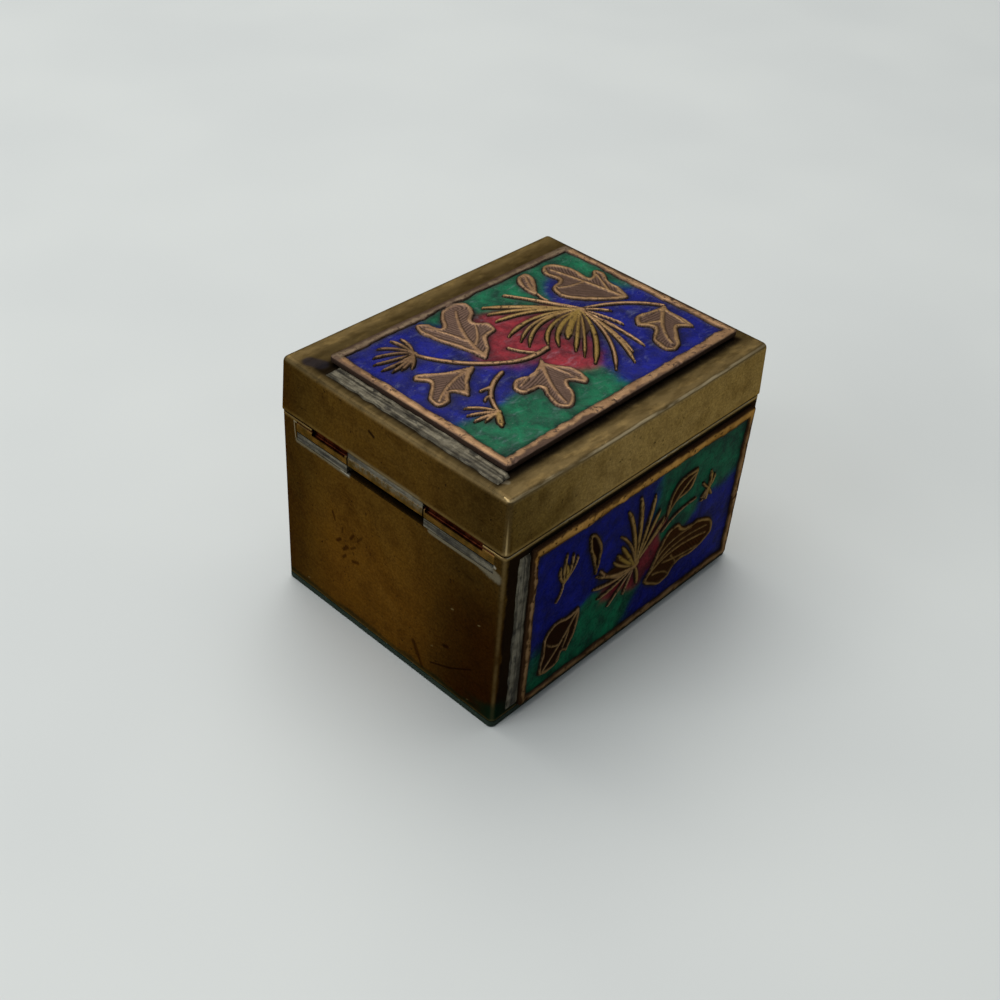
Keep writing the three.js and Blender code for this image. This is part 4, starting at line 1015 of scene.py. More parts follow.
TOP_DRAWING = {
    "leaves": [
        (
            [
                (14.6, 17.4), (14.2, 19.6), (13.5, 22.2), (12.9, 24.4), (12.4, 27.4), (13.3, 29.3), (14.9, 28.5), (15.5, 26.6),
                (16.9, 28.3), (18.9, 29.8), (21.4, 30.0), (22.7, 28.6), (21.9, 26.4), (20.0, 24.8), (21.3, 23.5),
                (20.9, 21.4), (18.6, 20.8), (16.9, 18.8),
            ],
            [
                ((14.9, 17.4), (15.6, 23.6), (20.4, 28.7)),
                ((15.7, 22.2), (15.3, 24.9), (13.7, 28.1)),
                ((16.0, 20.7), (18.2, 21.9), (20.0, 25.0)),
            ],
            0.0,
            0.9,
        ),
        (
            [
                (12.3, 17.2), (9.7, 15.4), (8.3, 13.9), (7.0, 13.0), (6.0, 14.9), (4.4, 13.6), (2.5, 13.8), (2.6, 15.9),
                (4.4, 17.5), (5.2, 18.5), (4.2, 20.0), (5.4, 20.9), (8.3, 19.0), (10.4, 18.1),
            ],
            [
                ((12.2, 17.1), (8.2, 17.6), (3.0, 14.4)),
                ((11.6, 17.3), (8.5, 18.2), (5.3, 20.2)),
            ],
            0.1,
            0.8,
        ),
        (
            [
                (20.9, 13.6), (19.9, 12.2), (20.6, 10.6), (21.8, 8.8), (21.6, 6.2), (20.2, 5.2), (18.9, 7.0), (17.4, 4.6),
                (15.0, 3.0), (13.5, 4.6), (14.2, 6.8), (14.9, 8.4), (12.6, 8.7), (12.2, 10.6), (14.0, 12.0), (16.6, 11.4),
                (18.8, 12.4),
            ],
            [
                ((20.6, 13.6), (15.9, 8.2), (14.9, 3.7)),
                ((19.3, 11.8), (20.1, 8.9), (20.4, 5.9)),
                ((18.8, 11.5), (15.8, 11.3), (13.2, 10.2)),
            ],
            0.0,
            0.85,
        ),
        (
            [
                (40.8, 15.2), (42.2, 17.6), (42.4, 19.8), (43.8, 21.9), (43.0, 23.6), (41.0, 22.5), (41.2, 25.6), (40.1, 28.3),
                (38.1, 28.9), (36.6, 27.4), (36.8, 24.9), (34.7, 24.1), (33.8, 21.9), (35.0, 19.5), (37.7, 17.0),
            ],
            [
                ((40.7, 15.2), (39.8, 21.6), (38.1, 28.1)),
                ((40.1, 18.1), (41.4, 20.4), (42.7, 23.0)),
                ((39.4, 22.2), (36.6, 22.4), (35.2, 23.6)),
            ],
            0.25,
            0.7,
        ),
        (
            [
                (43.0, 10.6), (42.6, 9.0), (42.6, 6.8), (41.8, 4.4), (39.9, 5.6), (37.2, 3.2), (35.2, 2.5), (34.0, 3.8),
                (34.6, 6.2), (37.0, 8.0), (36.0, 9.9), (37.8, 11.7), (40.6, 11.1),
            ],
            [
                ((42.8, 10.5), (37.4, 7.5), (35.9, 3.6)),
                ((42.3, 10.1), (41.5, 5.9), (41.2, 4.8)),
                ((39.5, 8.4), (37.5, 9.2), (36.4, 10.0)),
            ],
            0.35,
            0.75,
        ),
        (
            [(31.5, 24.0), (31.2, 26.0), (31.9, 28.2), (33.2, 29.3), (34.8, 29.2), (35.0, 27.7), (33.6, 25.6)],
            [((31.8, 24.4), (32.6, 26.8), (34.2, 28.6))],
            0.1,
            0.8,
        ),
    ],
    "grime": [
        ((2.0, 0.2), (15.5, 0.15), 0.75, 0.95),
        ((20.0, 0.15), (34.0, 0.1), 0.35, 0.7),
        ((0.1, 21.0), (0.2, 30.0), 0.5, 0.65),
        ((3.0, 30.9), (40.0, 30.9), 0.75, 0.75),
        ((45.4, 3.0), (45.4, 28.0), 0.45, 0.7),
    ],
    "dull": [(5.4, 25.6, 4.6, 0.5), (9.2, 11.6, 2.4, 0.25), (37.0, 22.0, 2.0, 0.2), (20.5, 28.0, 2.5, 0.25)],
    "webs": [
        ((33.2, 17.8), (30.4, 17.6), (27.2, 15.6), 1.5),
        ((33.2, 17.4), (30.6, 15.0), (27.4, 13.0), 1.2),
    ],
    "fans": [
        (
            (33.2, 17.6),
            [
                (29.9, 24.6, 27.9, 27.0, 0.26, 0.1),
                (29.3, 22.5, 23.4, 26.5, 0.46, 0.5),
                (28.9, 22.5, 22.7, 24.8, 0.40, 0.6),
                (28.6, 22.4, 22.3, 22.9, 0.40, 0.65),
                (27.4, 21.75, 20.9, 19.3, 0.38, 0.65),
                (26.9, 21.2, 21.2, 17.4, 0.30, 0.5),
                (26.6, 20.8, 21.2, 15.9, 0.34, 0.65),
                (26.7, 18.8, 23.4, 14.6, 0.36, 0.8),
                (27.4, 17.6, 24.2, 13.4, 0.34, 0.9),
                (29.6, 17.6, 25.2, 14.8, 0.40, 1.0),
                (29.9, 16.4, 26.6, 14.0, 0.66, 1.0),
                (29.6, 14.8, 25.0, 11.2, 0.36, 0.9),
                (30.2, 14.0, 24.9, 9.6, 0.26, 0.7),
                (31.3, 12.2, 24.7, 7.6, 0.42, 0.9),
                (32.4, 10.4, 25.6, 4.9, 0.32, 0.0),
                (32.8, 10.1, 28.8, 4.4, 0.34, 0.4),
                (33.1, 11.3, 30.5, 6.1, 0.30, 0.2),
                (34.0, 11.1, 32.9, 6.1, 0.30, 0.0),
                (34.7, 14.6, 34.9, 11.3, 0.24, 0.0),
                (35.0, 16.6, 36.4, 14.6, 0.24, 0.0),
            ],
        ),
        (
            (8.5, 24.3),
            [
                (9.8, 26.4, 9.6, 28.0, 0.30, 0.1),
                (9.0, 26.8, 8.3, 28.5, 0.28, 0.1),
                (8.2, 26.9, 5.7, 28.2, 0.28, 0.0),
                (7.3, 26.3, 3.9, 27.0, 0.28, 0.0),
                (6.4, 24.8, 2.9, 25.8, 0.28, 0.1),
                (5.9, 23.8, 2.8, 24.2, 0.28, 0.0),
                (6.2, 23.4, 3.6, 23.1, 0.28, 0.1),
                (7.0, 23.1, 4.8, 22.7, 0.28, 0.0),
                (7.3, 23.0, 6.0, 22.1, 0.32, 0.2),
            ],
        ),
        (
            (7.3, 8.3),
            [
                (6.9, 10.4, 4.7, 11.6, 0.26, 0.2),
                (6.1, 9.5, 3.9, 10.3, 0.28, 0.0),
                (5.7, 8.8, 3.7, 8.9, 0.30, 0.0),
                (6.0, 8.3, 4.7, 8.0, 0.28, 0.2),
                (6.9, 8.0, 5.5, 6.1, 0.55, 0.7),
            ],
        ),
    ],
    "stems": [
        ((8.4, 24.2), (10.6, 18.8), (15.6, 15.6), 0.42),
        ((15.4, 15.8), (18.2, 13.4), (23.0, 14.2), 0.46),
        ((7.5, 8.7), (9.3, 13.0), (14.2, 14.1), 0.40),
        ((10.7, 12.7), (10.1, 12.8), (8.8, 12.9), 0.30),
        ((9.0, 11.3), (8.5, 11.7), (7.7, 11.0), 0.24),
        ((18.7, 17.4), (19.4, 15.4), (20.6, 14.4), 0.28),
        ((33.8, 17.6), (40.3, 15.5), (43.1, 10.7), 0.36),
        ((33.4, 18.2), (31.0, 22.6), (28.0, 27.0), 0.30),
        ((31.6, 22.0), (31.4, 22.8), (31.9, 24.2), 0.24),
    ],
    "bosses": [((33.3, 17.5), 0.7, 0.2), ((8.5, 24.3), 0.5, 0.3), ((7.3, 8.3), 0.45, 0.3)],
    "zones": {
        "blue": [(5, 23, 9, 9), (9, 14, 10, 5), (11, 27, 7, 5), (31, 4, 7, 7), (38, 9, 9, 9), (38, 17, 5, 6), (36, 22, 3, 5)],
        "green": [(27, 28, 11, 5), (18, 29, 5, 3), (43, 26, 5, 7), (7, 5, 9, 5), (19, 5, 7, 4.5), (12, 7, 7, 3)],
        "red": [(22, 20, 6, 6), (18, 16.5, 5, 3.5), (24, 11, 4.5, 4.5), (21, 24, 4, 3), (27, 17, 5, 5)],
    },
}

FRONT_DRAWING = {
    "leaves": [
        (
            [
                (24.0, 6.5), (25.4, 8.5), (26.3, 10.7), (27.3, 12.4), (28.4, 13.5), (30.5, 13.5), (31.7, 12.2), (33.5, 11.6),
                (35.6, 11.5), (38.1, 10.3), (39.3, 8.7), (39.2, 6.9), (36.8, 5.7), (34.3, 5.4), (32.2, 5.7), (30.8, 5.1),
                (29.8, 4.1), (27.8, 3.7), (25.6, 4.9),
            ],
            [
                ((24.2, 6.5), (27.6, 10.6), (38.6, 7.5)),
                ((24.7, 7.1), (27.0, 12.3), (34.5, 10.7)),
                ((26.8, 8.6), (30.0, 10.9), (38.4, 8.9)),
                ((28.0, 7.8), (32.0, 6.6), (37.0, 6.1)),
                ((26.0, 6.8), (28.8, 6.2), (29.9, 4.6)),
                ((29.8, 8.0), (31.0, 6.6), (31.2, 5.9)),
            ],
            0.5,
            0.5,
        ),
        (
            [
                (10.3, 11.2), (10.6, 8.9), (10.2, 6.9), (9.4, 5.3), (8.6, 4.0), (7.7, 4.6), (7.4, 3.3), (5.6, 2.7), (3.4, 3.0),
                (3.3, 5.0), (3.6, 7.0), (3.7, 9.3), (4.8, 10.8), (6.4, 11.2), (8.3, 10.8),
            ],
            [
                ((10.2, 11.0), (7.2, 6.2), (3.6, 3.2)),
                ((8.6, 8.2), (8.2, 6.0), (6.6, 3.6)),
                ((6.6, 6.6), (5.2, 7.0), (4.2, 8.4)),
            ],
            0.15,
            0.16,
        ),
        (
            [(27.0, 16.2), (27.0, 18.4), (27.8, 20.6), (29.2, 21.7), (31.0, 22.0), (33.0, 21.8), (32.4, 19.4), (31.0, 18.3), (28.8, 18.0)],
            [((27.2, 16.6), (28.8, 19.4), (32.6, 21.2))],
            0.5,
            0.35,
        ),
        (
            [(12.9, 14.6), (11.8, 17.6), (10.8, 20.4), (10.6, 22.6), (11.9, 22.4), (13.4, 20.2), (13.7, 17.7)],
            [],
            0.4,
            0.06,
        ),
    ],
    "grime": [
        ((0.15, 0.6), (0.15, 25.8), 0.42, 0.95),
        ((1.0, 0.1), (43.0, 0.1), 0.3, 0.9),
        ((44.3, 2.0), (44.3, 24.0), 0.3, 0.8),
        ((10.0, 26.0), (20.0, 26.0), 0.35, 0.7),
    ],
    "webs": [
        ((21.2, 11.6), (19.2, 13.0), (17.4, 14.8), 1.3),
        ((21.2, 11.8), (18.6, 12.0), (15.0, 13.2), 1.0),
    ],
    "fans": [
        (
            (21.3, 11.5),
            [
                (18.5, 13.6, 17.3, 15.4, 0.42, 1.0),
                (19.6, 14.0, 18.0, 16.4, 0.40, 0.9),
                (18.2, 12.7, 16.6, 14.6, 0.30, 0.6),
                (20.6, 15.8, 17.4, 18.5, 0.24, 0.4),
                (20.6, 18.4, 18.3, 22.1, 0.42, 0.6),
                (21.9, 18.6, 20.6, 23.2, 0.44, 0.6),
                (23.6, 18.0, 23.7, 22.0, 0.42, 0.6),
                (24.0, 16.2, 25.3, 18.6, 0.40, 0.6),
                (24.2, 14.0, 26.6, 16.6, 0.36, 0.5),
                (24.0, 13.6, 27.0, 16.2, 0.24, 0.2),
                (17.4, 11.4, 13.2, 14.2, 0.34, 0.3),
                (17.0, 10.6, 12.8, 12.2, 0.32, 0.2),
                (17.4, 9.8, 14.0, 9.8, 0.28, 0.2),
                (18.6, 9.0, 16.4, 7.0, 0.24, 0.0),
                (22.4, 9.4, 22.4, 7.6, 0.40, 0.6),
                (20.2, 9.0, 19.6, 7.2, 0.24, 0.0),
            ],
        ),
        (
            (6.5, 17.4),
            [
                (6.1, 20.0, 6.6, 22.1, 0.26, 0.6),
                (7.4, 18.3, 6.6, 20.4, 0.36, 0.9),
                (7.9, 18.8, 7.8, 21.5, 0.22, 0.4),
                (8.7, 19.2, 8.7, 20.6, 0.22, 0.2),
                (5.4, 18.6, 5.6, 20.4, 0.26, 0.5),
            ],
        ),
        (
            (36.3, 16.6),
            [
                (36.7, 17.8, 36.4, 19.4, 0.28, 0.7),
                (37.2, 17.2, 37.4, 18.4, 0.24, 0.6),
                (35.4, 17.2, 34.8, 18.1, 0.24, 0.4),
                (35.6, 16.2, 35.0, 15.4, 0.22, 0.4),
                (36.2, 15.8, 36.1, 14.6, 0.28, 0.7),
                (36.8, 15.9, 37.3, 14.9, 0.24, 0.5),
            ],
        ),
    ],
    "stems": [
        ((21.3, 11.1), (16.6, 10.8), (13.9, 14.8), 0.32),
        ((26.6, 14.2), (28.8, 16.2), (33.6, 16.2), 0.24),
        ((6.4, 17.5), (6.4, 16.0), (5.3, 14.8), 0.20),
        ((36.2, 16.4), (35.8, 15.4), (35.0, 14.8), 0.20),
    ],
    "bosses": [((21.7, 11.6), 0.55, 0.4), ((6.4, 17.9), 0.45, 0.8), ((36.3, 16.6), 0.45, 0.8)],
    "zones": {
        "blue": [(6, 16, 9, 9), (14, 20, 9, 7), (21, 21, 4, 5), (42, 8, 5, 9), (30, 3, 8, 4), (38, 4, 7, 4), (37, 12, 5, 4)],
        "green": [(34, 20, 11, 6), (31, 14.5, 5, 3), (11, 5, 9, 6), (17, 6, 5, 5), (5, 2, 6, 3), (13, 9, 3, 2.5)],
        "red": [(17.4, 9.0, 3.8, 2.6), (20.6, 9.0, 2.8, 2.6), (24.4, 13.2, 2.2, 3.4), (26.6, 15.4, 1.8, 1.6), (22.4, 10.6, 2, 2)],
    },
}

BACK_DRAWING = {
    "leaves": [
        (
            [
                (16.7, 12.4), (14.6, 11.6), (12.0, 11.7), (10.6, 13.0), (8.2, 12.6), (6.4, 14.0), (7.0, 16.2), (5.4, 18.0),
                (5.2, 20.6), (7.6, 21.0), (9.2, 19.8), (11.6, 20.6), (13.6, 19.0), (13.4, 16.8), (15.2, 15.0),
            ],
            [((16.7, 12.4), (10.8, 15.6), (6.0, 20.2)), ((13.6, 13.6), (11.0, 13.2), (8.0, 14.2)), ((12.6, 15.0), (12.4, 17.0), (11.6, 19.4))],
            0.3,
            0.4,
        ),
        (
            [
                (25.3, 12.8), (28.4, 11.6), (31.2, 11.8), (32.6, 13.2), (35.4, 13.0), (37.4, 14.8), (36.8, 16.8), (38.4, 19.2),
                (36.0, 19.8), (33.6, 18.2), (31.2, 19.0), (29.0, 17.2), (28.6, 15.0),
            ],
            [((25.3, 12.8), (31.2, 13.9), (37.4, 19.0)), ((30.0, 14.0), (33.0, 13.8), (36.0, 15.0)), ((30.4, 14.4), (31.0, 16.4), (31.6, 18.0))],
            0.3,
            0.4,
        ),
        (
            [
                (20.4, 10.9), (18.2, 10.6), (15.6, 10.2), (13.8, 8.6), (11.2, 8.8), (9.4, 7.0), (9.0, 4.6), (11.6, 4.0), (13.6, 5.2),
                (15.8, 4.4), (18.0, 5.8), (18.2, 8.0),
            ],
            [((20.4, 10.9), (15.8, 7.6), (10.0, 5.0)), ((16.4, 8.6), (16.8, 7.0), (16.4, 5.6))],
            0.3,
            0.35,
        ),
    ],
    "fans": [
        (
            (21.5, 16.2),
            [
                (24.4, 17.6, 26.4, 19.6, 0.44, 0.5),
                (23.6, 19.2, 24.2, 21.8, 0.44, 0.5),
                (21.6, 20.0, 21.4, 22.6, 0.46, 0.6),
                (19.2, 19.2, 18.6, 21.8, 0.44, 0.5),
                (18.4, 17.6, 16.4, 19.4, 0.44, 0.5),
            ],
        ),
        (
            (34.5, 6.7),
            [
                (36.4, 6.2, 37.8, 4.8, 0.32, 0.4),
                (36.6, 7.0, 38.6, 7.0, 0.32, 0.4),
                (35.8, 8.0, 37.2, 9.6, 0.32, 0.4),
            ],
        ),
    ],
    "stems": [
        ((16.0, 13.0), (20.9, 9.4), (26.2, 13.1), 0.36),
        ((21.9, 10.9), (26.8, 5.6), (34.5, 6.7), 0.32),
        ((21.0, 11.4), (20.5, 13.8), (21.4, 16.3), 0.32),
    ],
    "bosses": [((21.5, 16.2), 0.7, 0.4), ((34.5, 6.7), 0.5, 0.4)],
    "zones": {
        "blue": [(8, 14, 9, 10), (22, 5, 9, 5), (40, 12, 8, 9), (12, 22, 8, 5)],
        "green": [(30, 22, 12, 5), (6, 4, 8, 5), (30, 6, 6, 4), (40, 3, 7, 4)],
        "red": [(21, 17, 6, 5), (24, 12, 4, 3)],
    },
}


# ---- operators, one for each piece or group of like pieces


def sizes_and_colours(context):
    return context.scene.enamel_box_sizes, context.scene.enamel_box_colours


def hollow(piece, wall, edge, z_open, depth):
    """Insets the open side of a block and pushes it in, to leave walls and a floor."""
    select(piece, "FACE", lambda face: abs(face.calc_center_median().z / MM - z_open) < 0.01)
    bpy.ops.mesh.inset(thickness=(wall - edge) * MM)
    bpy.ops.mesh.extrude_region_move(TRANSFORM_OT_translate={"value": (0, 0, depth * MM)})


def round_edges(piece, test, radius, segments):
    select(piece, "EDGE", test)
    bpy.ops.mesh.bevel(offset=radius * MM, segments=segments, affect="EDGES")


class ENAMELBOX_OT_body(bpy.types.Operator):
    """Models the open body of sheet brass, with the notch for the hinge"""

    bl_idname = "enamel_box.body"
    bl_label = "Body"

    def execute(self, context):
        sizes, colours = sizes_and_colours(context)
        low, high = node_box("body")
        body = block("body_brass", low, high)
        round_edges(body, upright, sizes.body_corner, 6)
        round_edges(body, at_height(high[2]), sizes.seam_edge, 3)
        round_edges(body, at_height(low[2]), sizes.seam_edge, 2)
        hollow(body, sizes.wall, sizes.seam_edge, high[2], low[2] + sizes.wall - high[2])
        far, near = node_box("hinge_knuckle_far"), node_box("hinge_knuckle_near")
        end, axis = low[0], (far[0][2] + far[1][2]) / 2
        notch = block(
            "notch",
            (end - 2, near[0][1] - 0.02, node_box("hinge_solder_far")[0][2] - 0.02),
            (end + 2, far[1][1] + 0.02, far[1][2] + 0.1),
        )
        slot = block("slot", (end - 2, low[1] + 3.6, axis), (end + 2, high[1] - 5.9, high[2] + 2))
        cut(body, notch, slot)
        smooth(body)
        dress(body, body_material(colours), "box", "body_brass", "body")
        return {"FINISHED"}


def wear_corners(lid, low, high, wall):
    """Draws the upper edges of the lid in a little, most at the corners away from the near one."""
    for axis, places in ((0, (-22, -17, -9, 0, 9, 17, 22)), (1, (-17, -13, -6, 0, 6, 13, 17))):
        for place in places:
            select(lid, "FACE", lambda face: True)
            point, normal = [0, 0, 0], [0, 0, 0]
            point[axis], normal[axis] = place * MM, 1
            bpy.ops.mesh.bisect(plane_co=point, plane_no=normal)
    leave_edit()
    inside = high[:2] - wall
    for vertex in lid.data.vertices:
        x, y, z = vertex.co / MM
        if abs(x) <= inside[0] + 0.02 and abs(y) <= inside[1] + 0.02 and z < high[2] - 0.2:
            continue
        rise = max(0.0, (z - low[2]) / (high[2] - low[2])) ** 1.4
        hinge_ends = 0.12 + 0.26 * float(ease(abs(y), 6, 19))
        seen_ends = 0.08 + 0.20 * float(ease(abs(x), 10, 24))
        in_x = (hinge_ends if x < 0 else 0.32) * float(ease(abs(x), 20, 23.6)) * rise
        in_y = (seen_ends if y < 0 else 0.25) * float(ease(abs(y), 15, 18.4)) * rise
        vertex.co.x -= math.copysign(in_x * MM, x)
        vertex.co.y -= math.copysign(in_y * MM, y)
    lid.data.update()


class ENAMELBOX_OT_lid(bpy.types.Operator):
    """Models the hollow lid, its upper edges worn round"""

    bl_idname = "enamel_box.lid"
    bl_label = "Lid"

    def execute(self, context):
        sizes, colours = sizes_and_colours(context)
        low, high = node_box("lid")
        lid = block("lid_brass", low, high)
        round_edges(lid, upright, sizes.lid_corner, 7)
        round_edges(lid, at_height(high[2]), sizes.lid_edge, 7)
        round_edges(lid, at_height(low[2]), sizes.seam_edge, 3)
        wall = sizes.wall + (high[0] - node_box("body")[1][0])
        hollow(lid, wall, sizes.seam_edge, low[2], high[2] - sizes.wall - low[2])
        wear_corners(lid, low, high, wall)
        smooth(lid)
        dress(lid, lid_material(colours), "lid", "body_brass", "lid")
        return {"FINISHED"}


class ENAMELBOX_OT_plaques(bpy.types.Operator):
    """Models the three cast plaques with their relief, and the enamel in them"""

    bl_idname = "enamel_box.plaques"
    bl_label = "Plaques and enamel"

    def execute(self, context):
        sizes, colours = sizes_and_colours(context)
        copper = tuple(colours.copper)
        worn_side = (0.29, 0.185, 0.10)
        plans = {
            "top": Plan("top_plaque", "lid", "top", TOP_LEVELS, (45.5, 31.0), TOP_DRAWING),
            "front": Plan("front_plaque", "box", "front", SIDE_LEVELS, (44.5, 26.3), FRONT_DRAWING),
            "back": Plan("back_plaque", "box", "back", SIDE_LEVELS, (44.5, 26.3), BACK_DRAWING),
        }
        for place, plan in plans.items():
            name = f"Cast brass, {place} plaque"
            if place == "top":
                # the far rim's crest colour is darker, as painted shade
                metal = plaque_material(name, colours, (0.20, 0.128, 0.098), copper, far=(0.16, 0.12, 0.08))
                glass = enamel_material(f"Enamel, {place} plaque", colours, 0.2, 0.07, 0.9, 0.75)
            else:
                metal = plaque_material(name, colours, (0.095, 0.045, 0.020), worn_side, upper=(0.44, 0.25, 0.08))
                glass = enamel_material(f"Enamel, {place} plaque", colours, 0.002, 0.01, 0.68, 0.92)
            plaque_piece(plan, sizes, metal)
            enamel_piece(plan, f"{place}_enamel", sizes, glass)
        return {"FINISHED"}


class ENAMELBOX_OT_hinge(bpy.types.Operator):
    """Models the three filed knuckles, their solder and the pin"""

    bl_idname = "enamel_box.hinge"
    bl_label = "Hinge"

    def execute(self, context):
        _, colours = sizes_and_colours(context)
        brass = hinge_material("Filed hinge brass", colours)
        tin = solder_material("Hinge solder", colours, "y")
        end = node_box("body")[0][0]
        pin_low, pin_high = node_box("hinge_pin")
        x, z = (pin_low[0] + pin_high[0]) / 2, (pin_low[2] + pin_high[2]) / 2
        worn_slots = {"far": (7.6, 13.8), "near": (-16.1, -6.6)}
        for place in ("far", "lid", "near"):
            body = "lid" if place == "lid" else "box"
            low, high = node_box(f"hinge_knuckle_{place}")
            radius = (high[2] - low[2]) / 2
            knuckle = rod(f"knuckle_{place}", radius, low[1], high[1], x, z, 40)
            cut(
                knuckle,
                rod("bore", 0.43, low[1] - 1, high[1] + 1, x, z, 20),
                block("filed", (end - 2, low[1] - 1, z - 2), (end, high[1] + 1, z + 2)),
            )
            if place in worn_slots:
                y0, y1 = worn_slots[place]
                cut(knuckle, block("slot", (end - 2, y0, z + 0.25), (end + 0.55, y1, z + 2)))
            smooth(knuckle)
            dress(knuckle, brass, body, "hinge_brass", f"hinge_knuckle_{place}")
            low, high = node_box(f"hinge_solder_{place}")
            fill = block(f"hinge_fill_{place}", low, high)
            cut(fill, rod("barrel", radius + 0.08, low[1] - 1, high[1] + 1, x, z, 40))
            smooth(fill)
            dress(fill, tin, body, "solder", f"hinge_solder_{place}")
        pin = rod("hinge_wire", (pin_high[2] - pin_low[2]) / 2, pin_low[1], pin_high[1], x, z, 20)
        round_edges(pin, lambda e: abs(e.verts[0].co.y - e.verts[1].co.y) < 1e-6, 0.08, 2)
        smooth(pin)
        dress(pin, brass, "box", "hinge_brass", "hinge_pin")
        return {"FINISHED"}


def solder_run(name, node, across, along, up, seed, cell, material, body):
    """A furrowed run of solder over the box of its node. across, along and up name its axes with
    the sign in which they run from the plaque."""
    low, high = node_box(node)
    span = {axis: high["xyz".index(axis)] - low["xyz".index(axis)] for axis in "xyz"}
    width, length, height = span[across[1]], span[along[1]], span[up[1]]
    a, b = np.linspace(0, 1, int(width / 0.1) + 1), np.linspace(0, 1, int(length / cell) + 1)
    s, t = np.meshgrid(a, b)
    out = width * (0.92 + 0.08 * ripple(t * length, t * 0, 1.4, seed))
    w = s * out
    d = w / width
    furrow = 0.55 + 0.45 * np.cos(2 * np.pi * (d * 2.6 + 0.05 * ripple(w, t * length, 3, seed + 1)))
    lump = ripple(w * 2, t * length, 0.9, seed + 2)
    z = height * (0.84 - 0.42 * d**1.5) * (0.70 + 0.24 * furrow) + height * 0.14 * lump
    ends = ease(t * length, 0, 0.5) * ease(length - t * length, 0, 0.5)
    z = np.clip(z * (0.35 + 0.65 * ends), 0.03, height)
    z[:, -1] = 0.0
    z[[0, -1]] = np.minimum(z[[0, -1]], 0.04)
    made = grid(name, len(b), len(a))
    spots = {}
    for (sign, axis), values in ((across, w), (along, t * length), (up, z)):
        i = "xyz".index(axis)
        spots[axis] = low[i] + values if sign == "+" else high[i] - values
    set_points(made, spots["x"], spots["y"], spots["z"])
    activate(made)
    bpy.ops.object.mode_set(mode="EDIT")
    bpy.ops.mesh.select_all(action="SELECT")
    bpy.ops.mesh.select_mode(type="EDGE")
    select(made, "EDGE", lambda e: e.is_boundary)
    bpy.ops.mesh.extrude_region_move()
    axis = "xyz".index(up[1])
    floor = (low if up[0] == "+" else high)[axis] * MM
    mesh = bmesh.from_edit_mesh(made.data)
    for vertex in mesh.verts:
        if vertex.select:
            vertex.co[axis] = floor
    bmesh.update_edit_mesh(made.data)
    bpy.ops.mesh.edge_face_add()
    bpy.ops.mesh.select_all(action="SELECT")
    bpy.ops.mesh.remove_doubles(threshold=0.002 * MM)
    bpy.ops.mesh.normals_make_consistent(inside=False)
    smooth(made, 60, weighted=False)
    dress(made, material, body, "solder", node)


class ENAMELBOX_OT_solder(bpy.types.Operator):
    """Models the runs of solder beside the lid's plaque and the front one"""

    bl_idname = "enamel_box.solder"
    bl_label = "Solder"

    def execute(self, context):
        _, colours = sizes_and_colours(context)
        solder_run(
            "lid_fillet", "lid_solder", "-x", "+y", "+z", 40, 0.16, solder_material("Lid solder", colours, "y"), "lid"
        )
        solder_run(
            "front_strip", "front_solder", "-x", "+z", "-y", 50, 0.16, solder_material("Front solder", colours, "z"), "box"
        )
        return {"FINISHED"}


class ENAMELBOX_OT_felt(bpy.types.Operator):
    """Models the felt glued under the box"""

    bl_idname = "enamel_box.felt"
    bl_label = "Felt"

    def execute(self, context):
        _, colours = sizes_and_colours(context)
        low, high = node_box("felt_base")
        felt = block("felt_pad", low, high)
        round_edges(felt, upright, 0.8, 5)
        round_edges(felt, at_height(high[2]), 0.08, 2)
        round_edges(felt, at_height(low[2]), 0.16, 3)
        smooth(felt)
        dress(felt, felt_material(colours), "box", "felt", "felt_base")
        return {"FINISHED"}


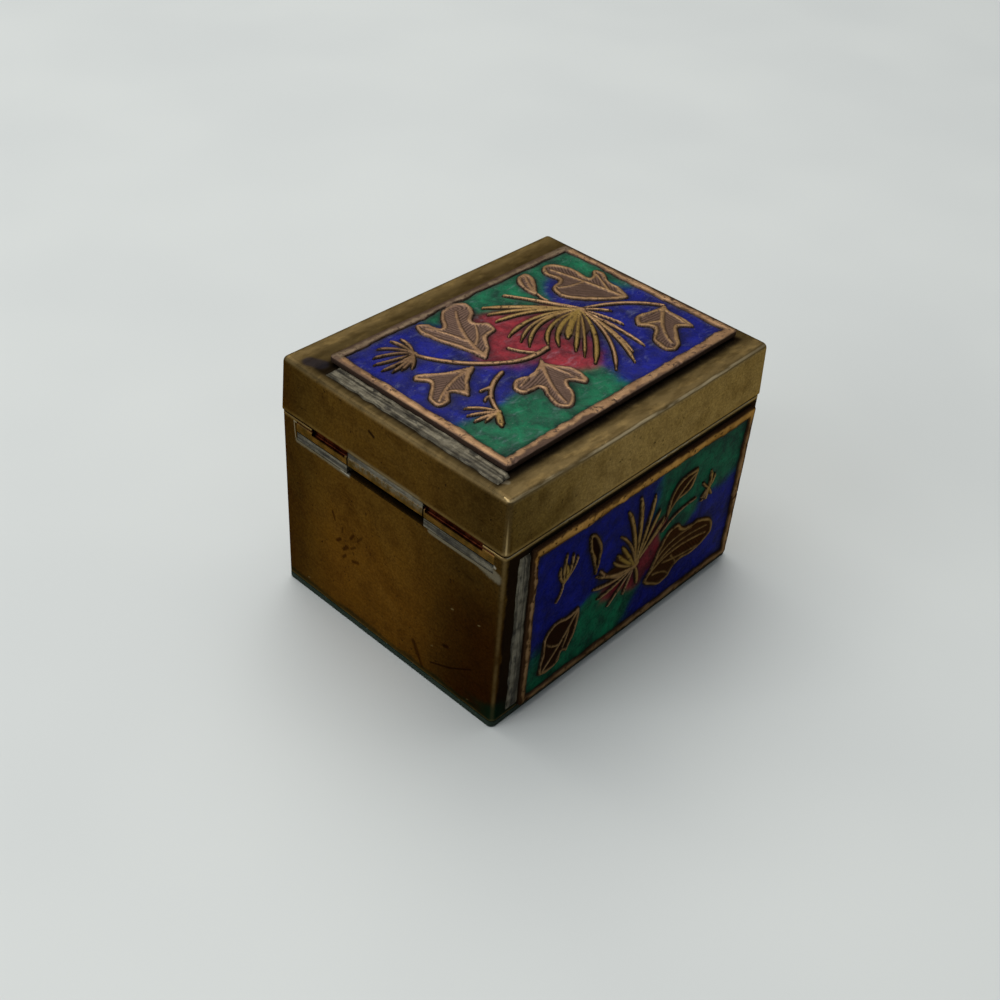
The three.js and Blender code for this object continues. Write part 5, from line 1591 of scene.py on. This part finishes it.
class ENAMELBOX_OT_stage(bpy.types.Operator):
    """Sets out the pale floor, the soft light and the camera"""

    bl_idname = "enamel_box.stage"
    bl_label = "Stage"

    def execute(self, context):
        leave_edit()
        bpy.ops.mesh.primitive_plane_add(size=6, location=(0, 0, 0))
        floor = bpy.context.object
        floor.name = "floor"
        f = Finish("Pale floor")
        cloud = f.noise(60, 2, 0.5)
        colour = f.mix(f.band(cloud, 0.3, 0.7), (0.60, 0.625, 0.61), (0.57, 0.595, 0.585))
        floor.data.materials.append(f.surface(colour, roughness=0.55))

        scene = context.scene
        scene.view_settings.view_transform = "Standard"
        world = bpy.data.worlds.new("Studio")
        scene.world = world
        world.use_nodes = True
        world.node_tree.nodes["Background"].inputs[0].default_value = (0.90, 0.95, 1.0, 1)
        world.node_tree.nodes["Background"].inputs[1].default_value = 0.30
        lamps = [
            ("overhead", (0.10, 0.25, 0.75), (0.9, 0.9), 6.2, (1.0, 0.98, 0.95)),
            ("left_window", (-0.75, 0.25, 0.45), (0.5, 0.7), 2.8, (0.96, 0.98, 1.0)),
        ]
        for name, place, size, power, colour in lamps:
            lamp = bpy.data.lights.new(name, "AREA")
            lamp.shape, lamp.size, lamp.size_y = "RECTANGLE", *size
            lamp.energy, lamp.color = power, colour
            stand = bpy.data.objects.new(name, lamp)
            scene.collection.objects.link(stand)
            stand.location = place
            stand.rotation_euler = (Vector((0, 0, 0.02)) - Vector(place)).to_track_quat("-Z", "Y").to_euler()

        camera = bpy.data.cameras.new("camera")
        camera.lens = 48.6
        camera.sensor_width = 36
        camera.clip_start = 0.01
        eye = bpy.data.objects.new("camera", camera)
        scene.collection.objects.link(eye)
        right = Vector((0.68733, -0.72370, 0.06202))
        up = Vector((0.42138, 0.46683, 0.77750))
        back = Vector((-0.59162, -0.50826, 0.62582))
        turn = Matrix((right, up, back)).transposed().to_4x4()
        eye.matrix_world = Matrix.Translation(Vector((-112.48, -93.31, 128.69)) * MM) @ turn
        scene.camera = eye
        return {"FINISHED"}


OPERATORS = (
    ENAMELBOX_OT_stage,
    ENAMELBOX_OT_felt,
    ENAMELBOX_OT_body,
    ENAMELBOX_OT_lid,
    ENAMELBOX_OT_hinge,
    ENAMELBOX_OT_solder,
    ENAMELBOX_OT_plaques,
)


class ENAMELBOX_PT_panel(bpy.types.Panel):
    """Buttons for the box's pieces, and its sizes and colours"""

    bl_idname = "ENAMELBOX_PT_panel"
    bl_label = "Enamel Box"
    bl_space_type = "VIEW_3D"
    bl_region_type = "UI"
    bl_category = "Enamel Box"

    def draw(self, context):
        for made in OPERATORS:
            self.layout.operator(made.bl_idname)
        for group in (context.scene.enamel_box_sizes, context.scene.enamel_box_colours):
            for name in group.__annotations__:
                self.layout.prop(group, name)


CLASSES = (BoxSizes, BoxColours, *OPERATORS, ENAMELBOX_PT_panel)


def register():
    for one in CLASSES:
        bpy.utils.register_class(one)
    bpy.types.Scene.enamel_box_sizes = bpy.props.PointerProperty(type=BoxSizes)
    bpy.types.Scene.enamel_box_colours = bpy.props.PointerProperty(type=BoxColours)


def unregister():
    del bpy.types.Scene.enamel_box_colours
    del bpy.types.Scene.enamel_box_sizes
    for one in reversed(CLASSES):
        bpy.utils.unregister_class(one)


def main():
    register()
    for made in OPERATORS:
        group, name = made.bl_idname.split(".")
        getattr(getattr(bpy.ops, group), name)()
    leave_edit()


if __name__ == "__main__":
    main()
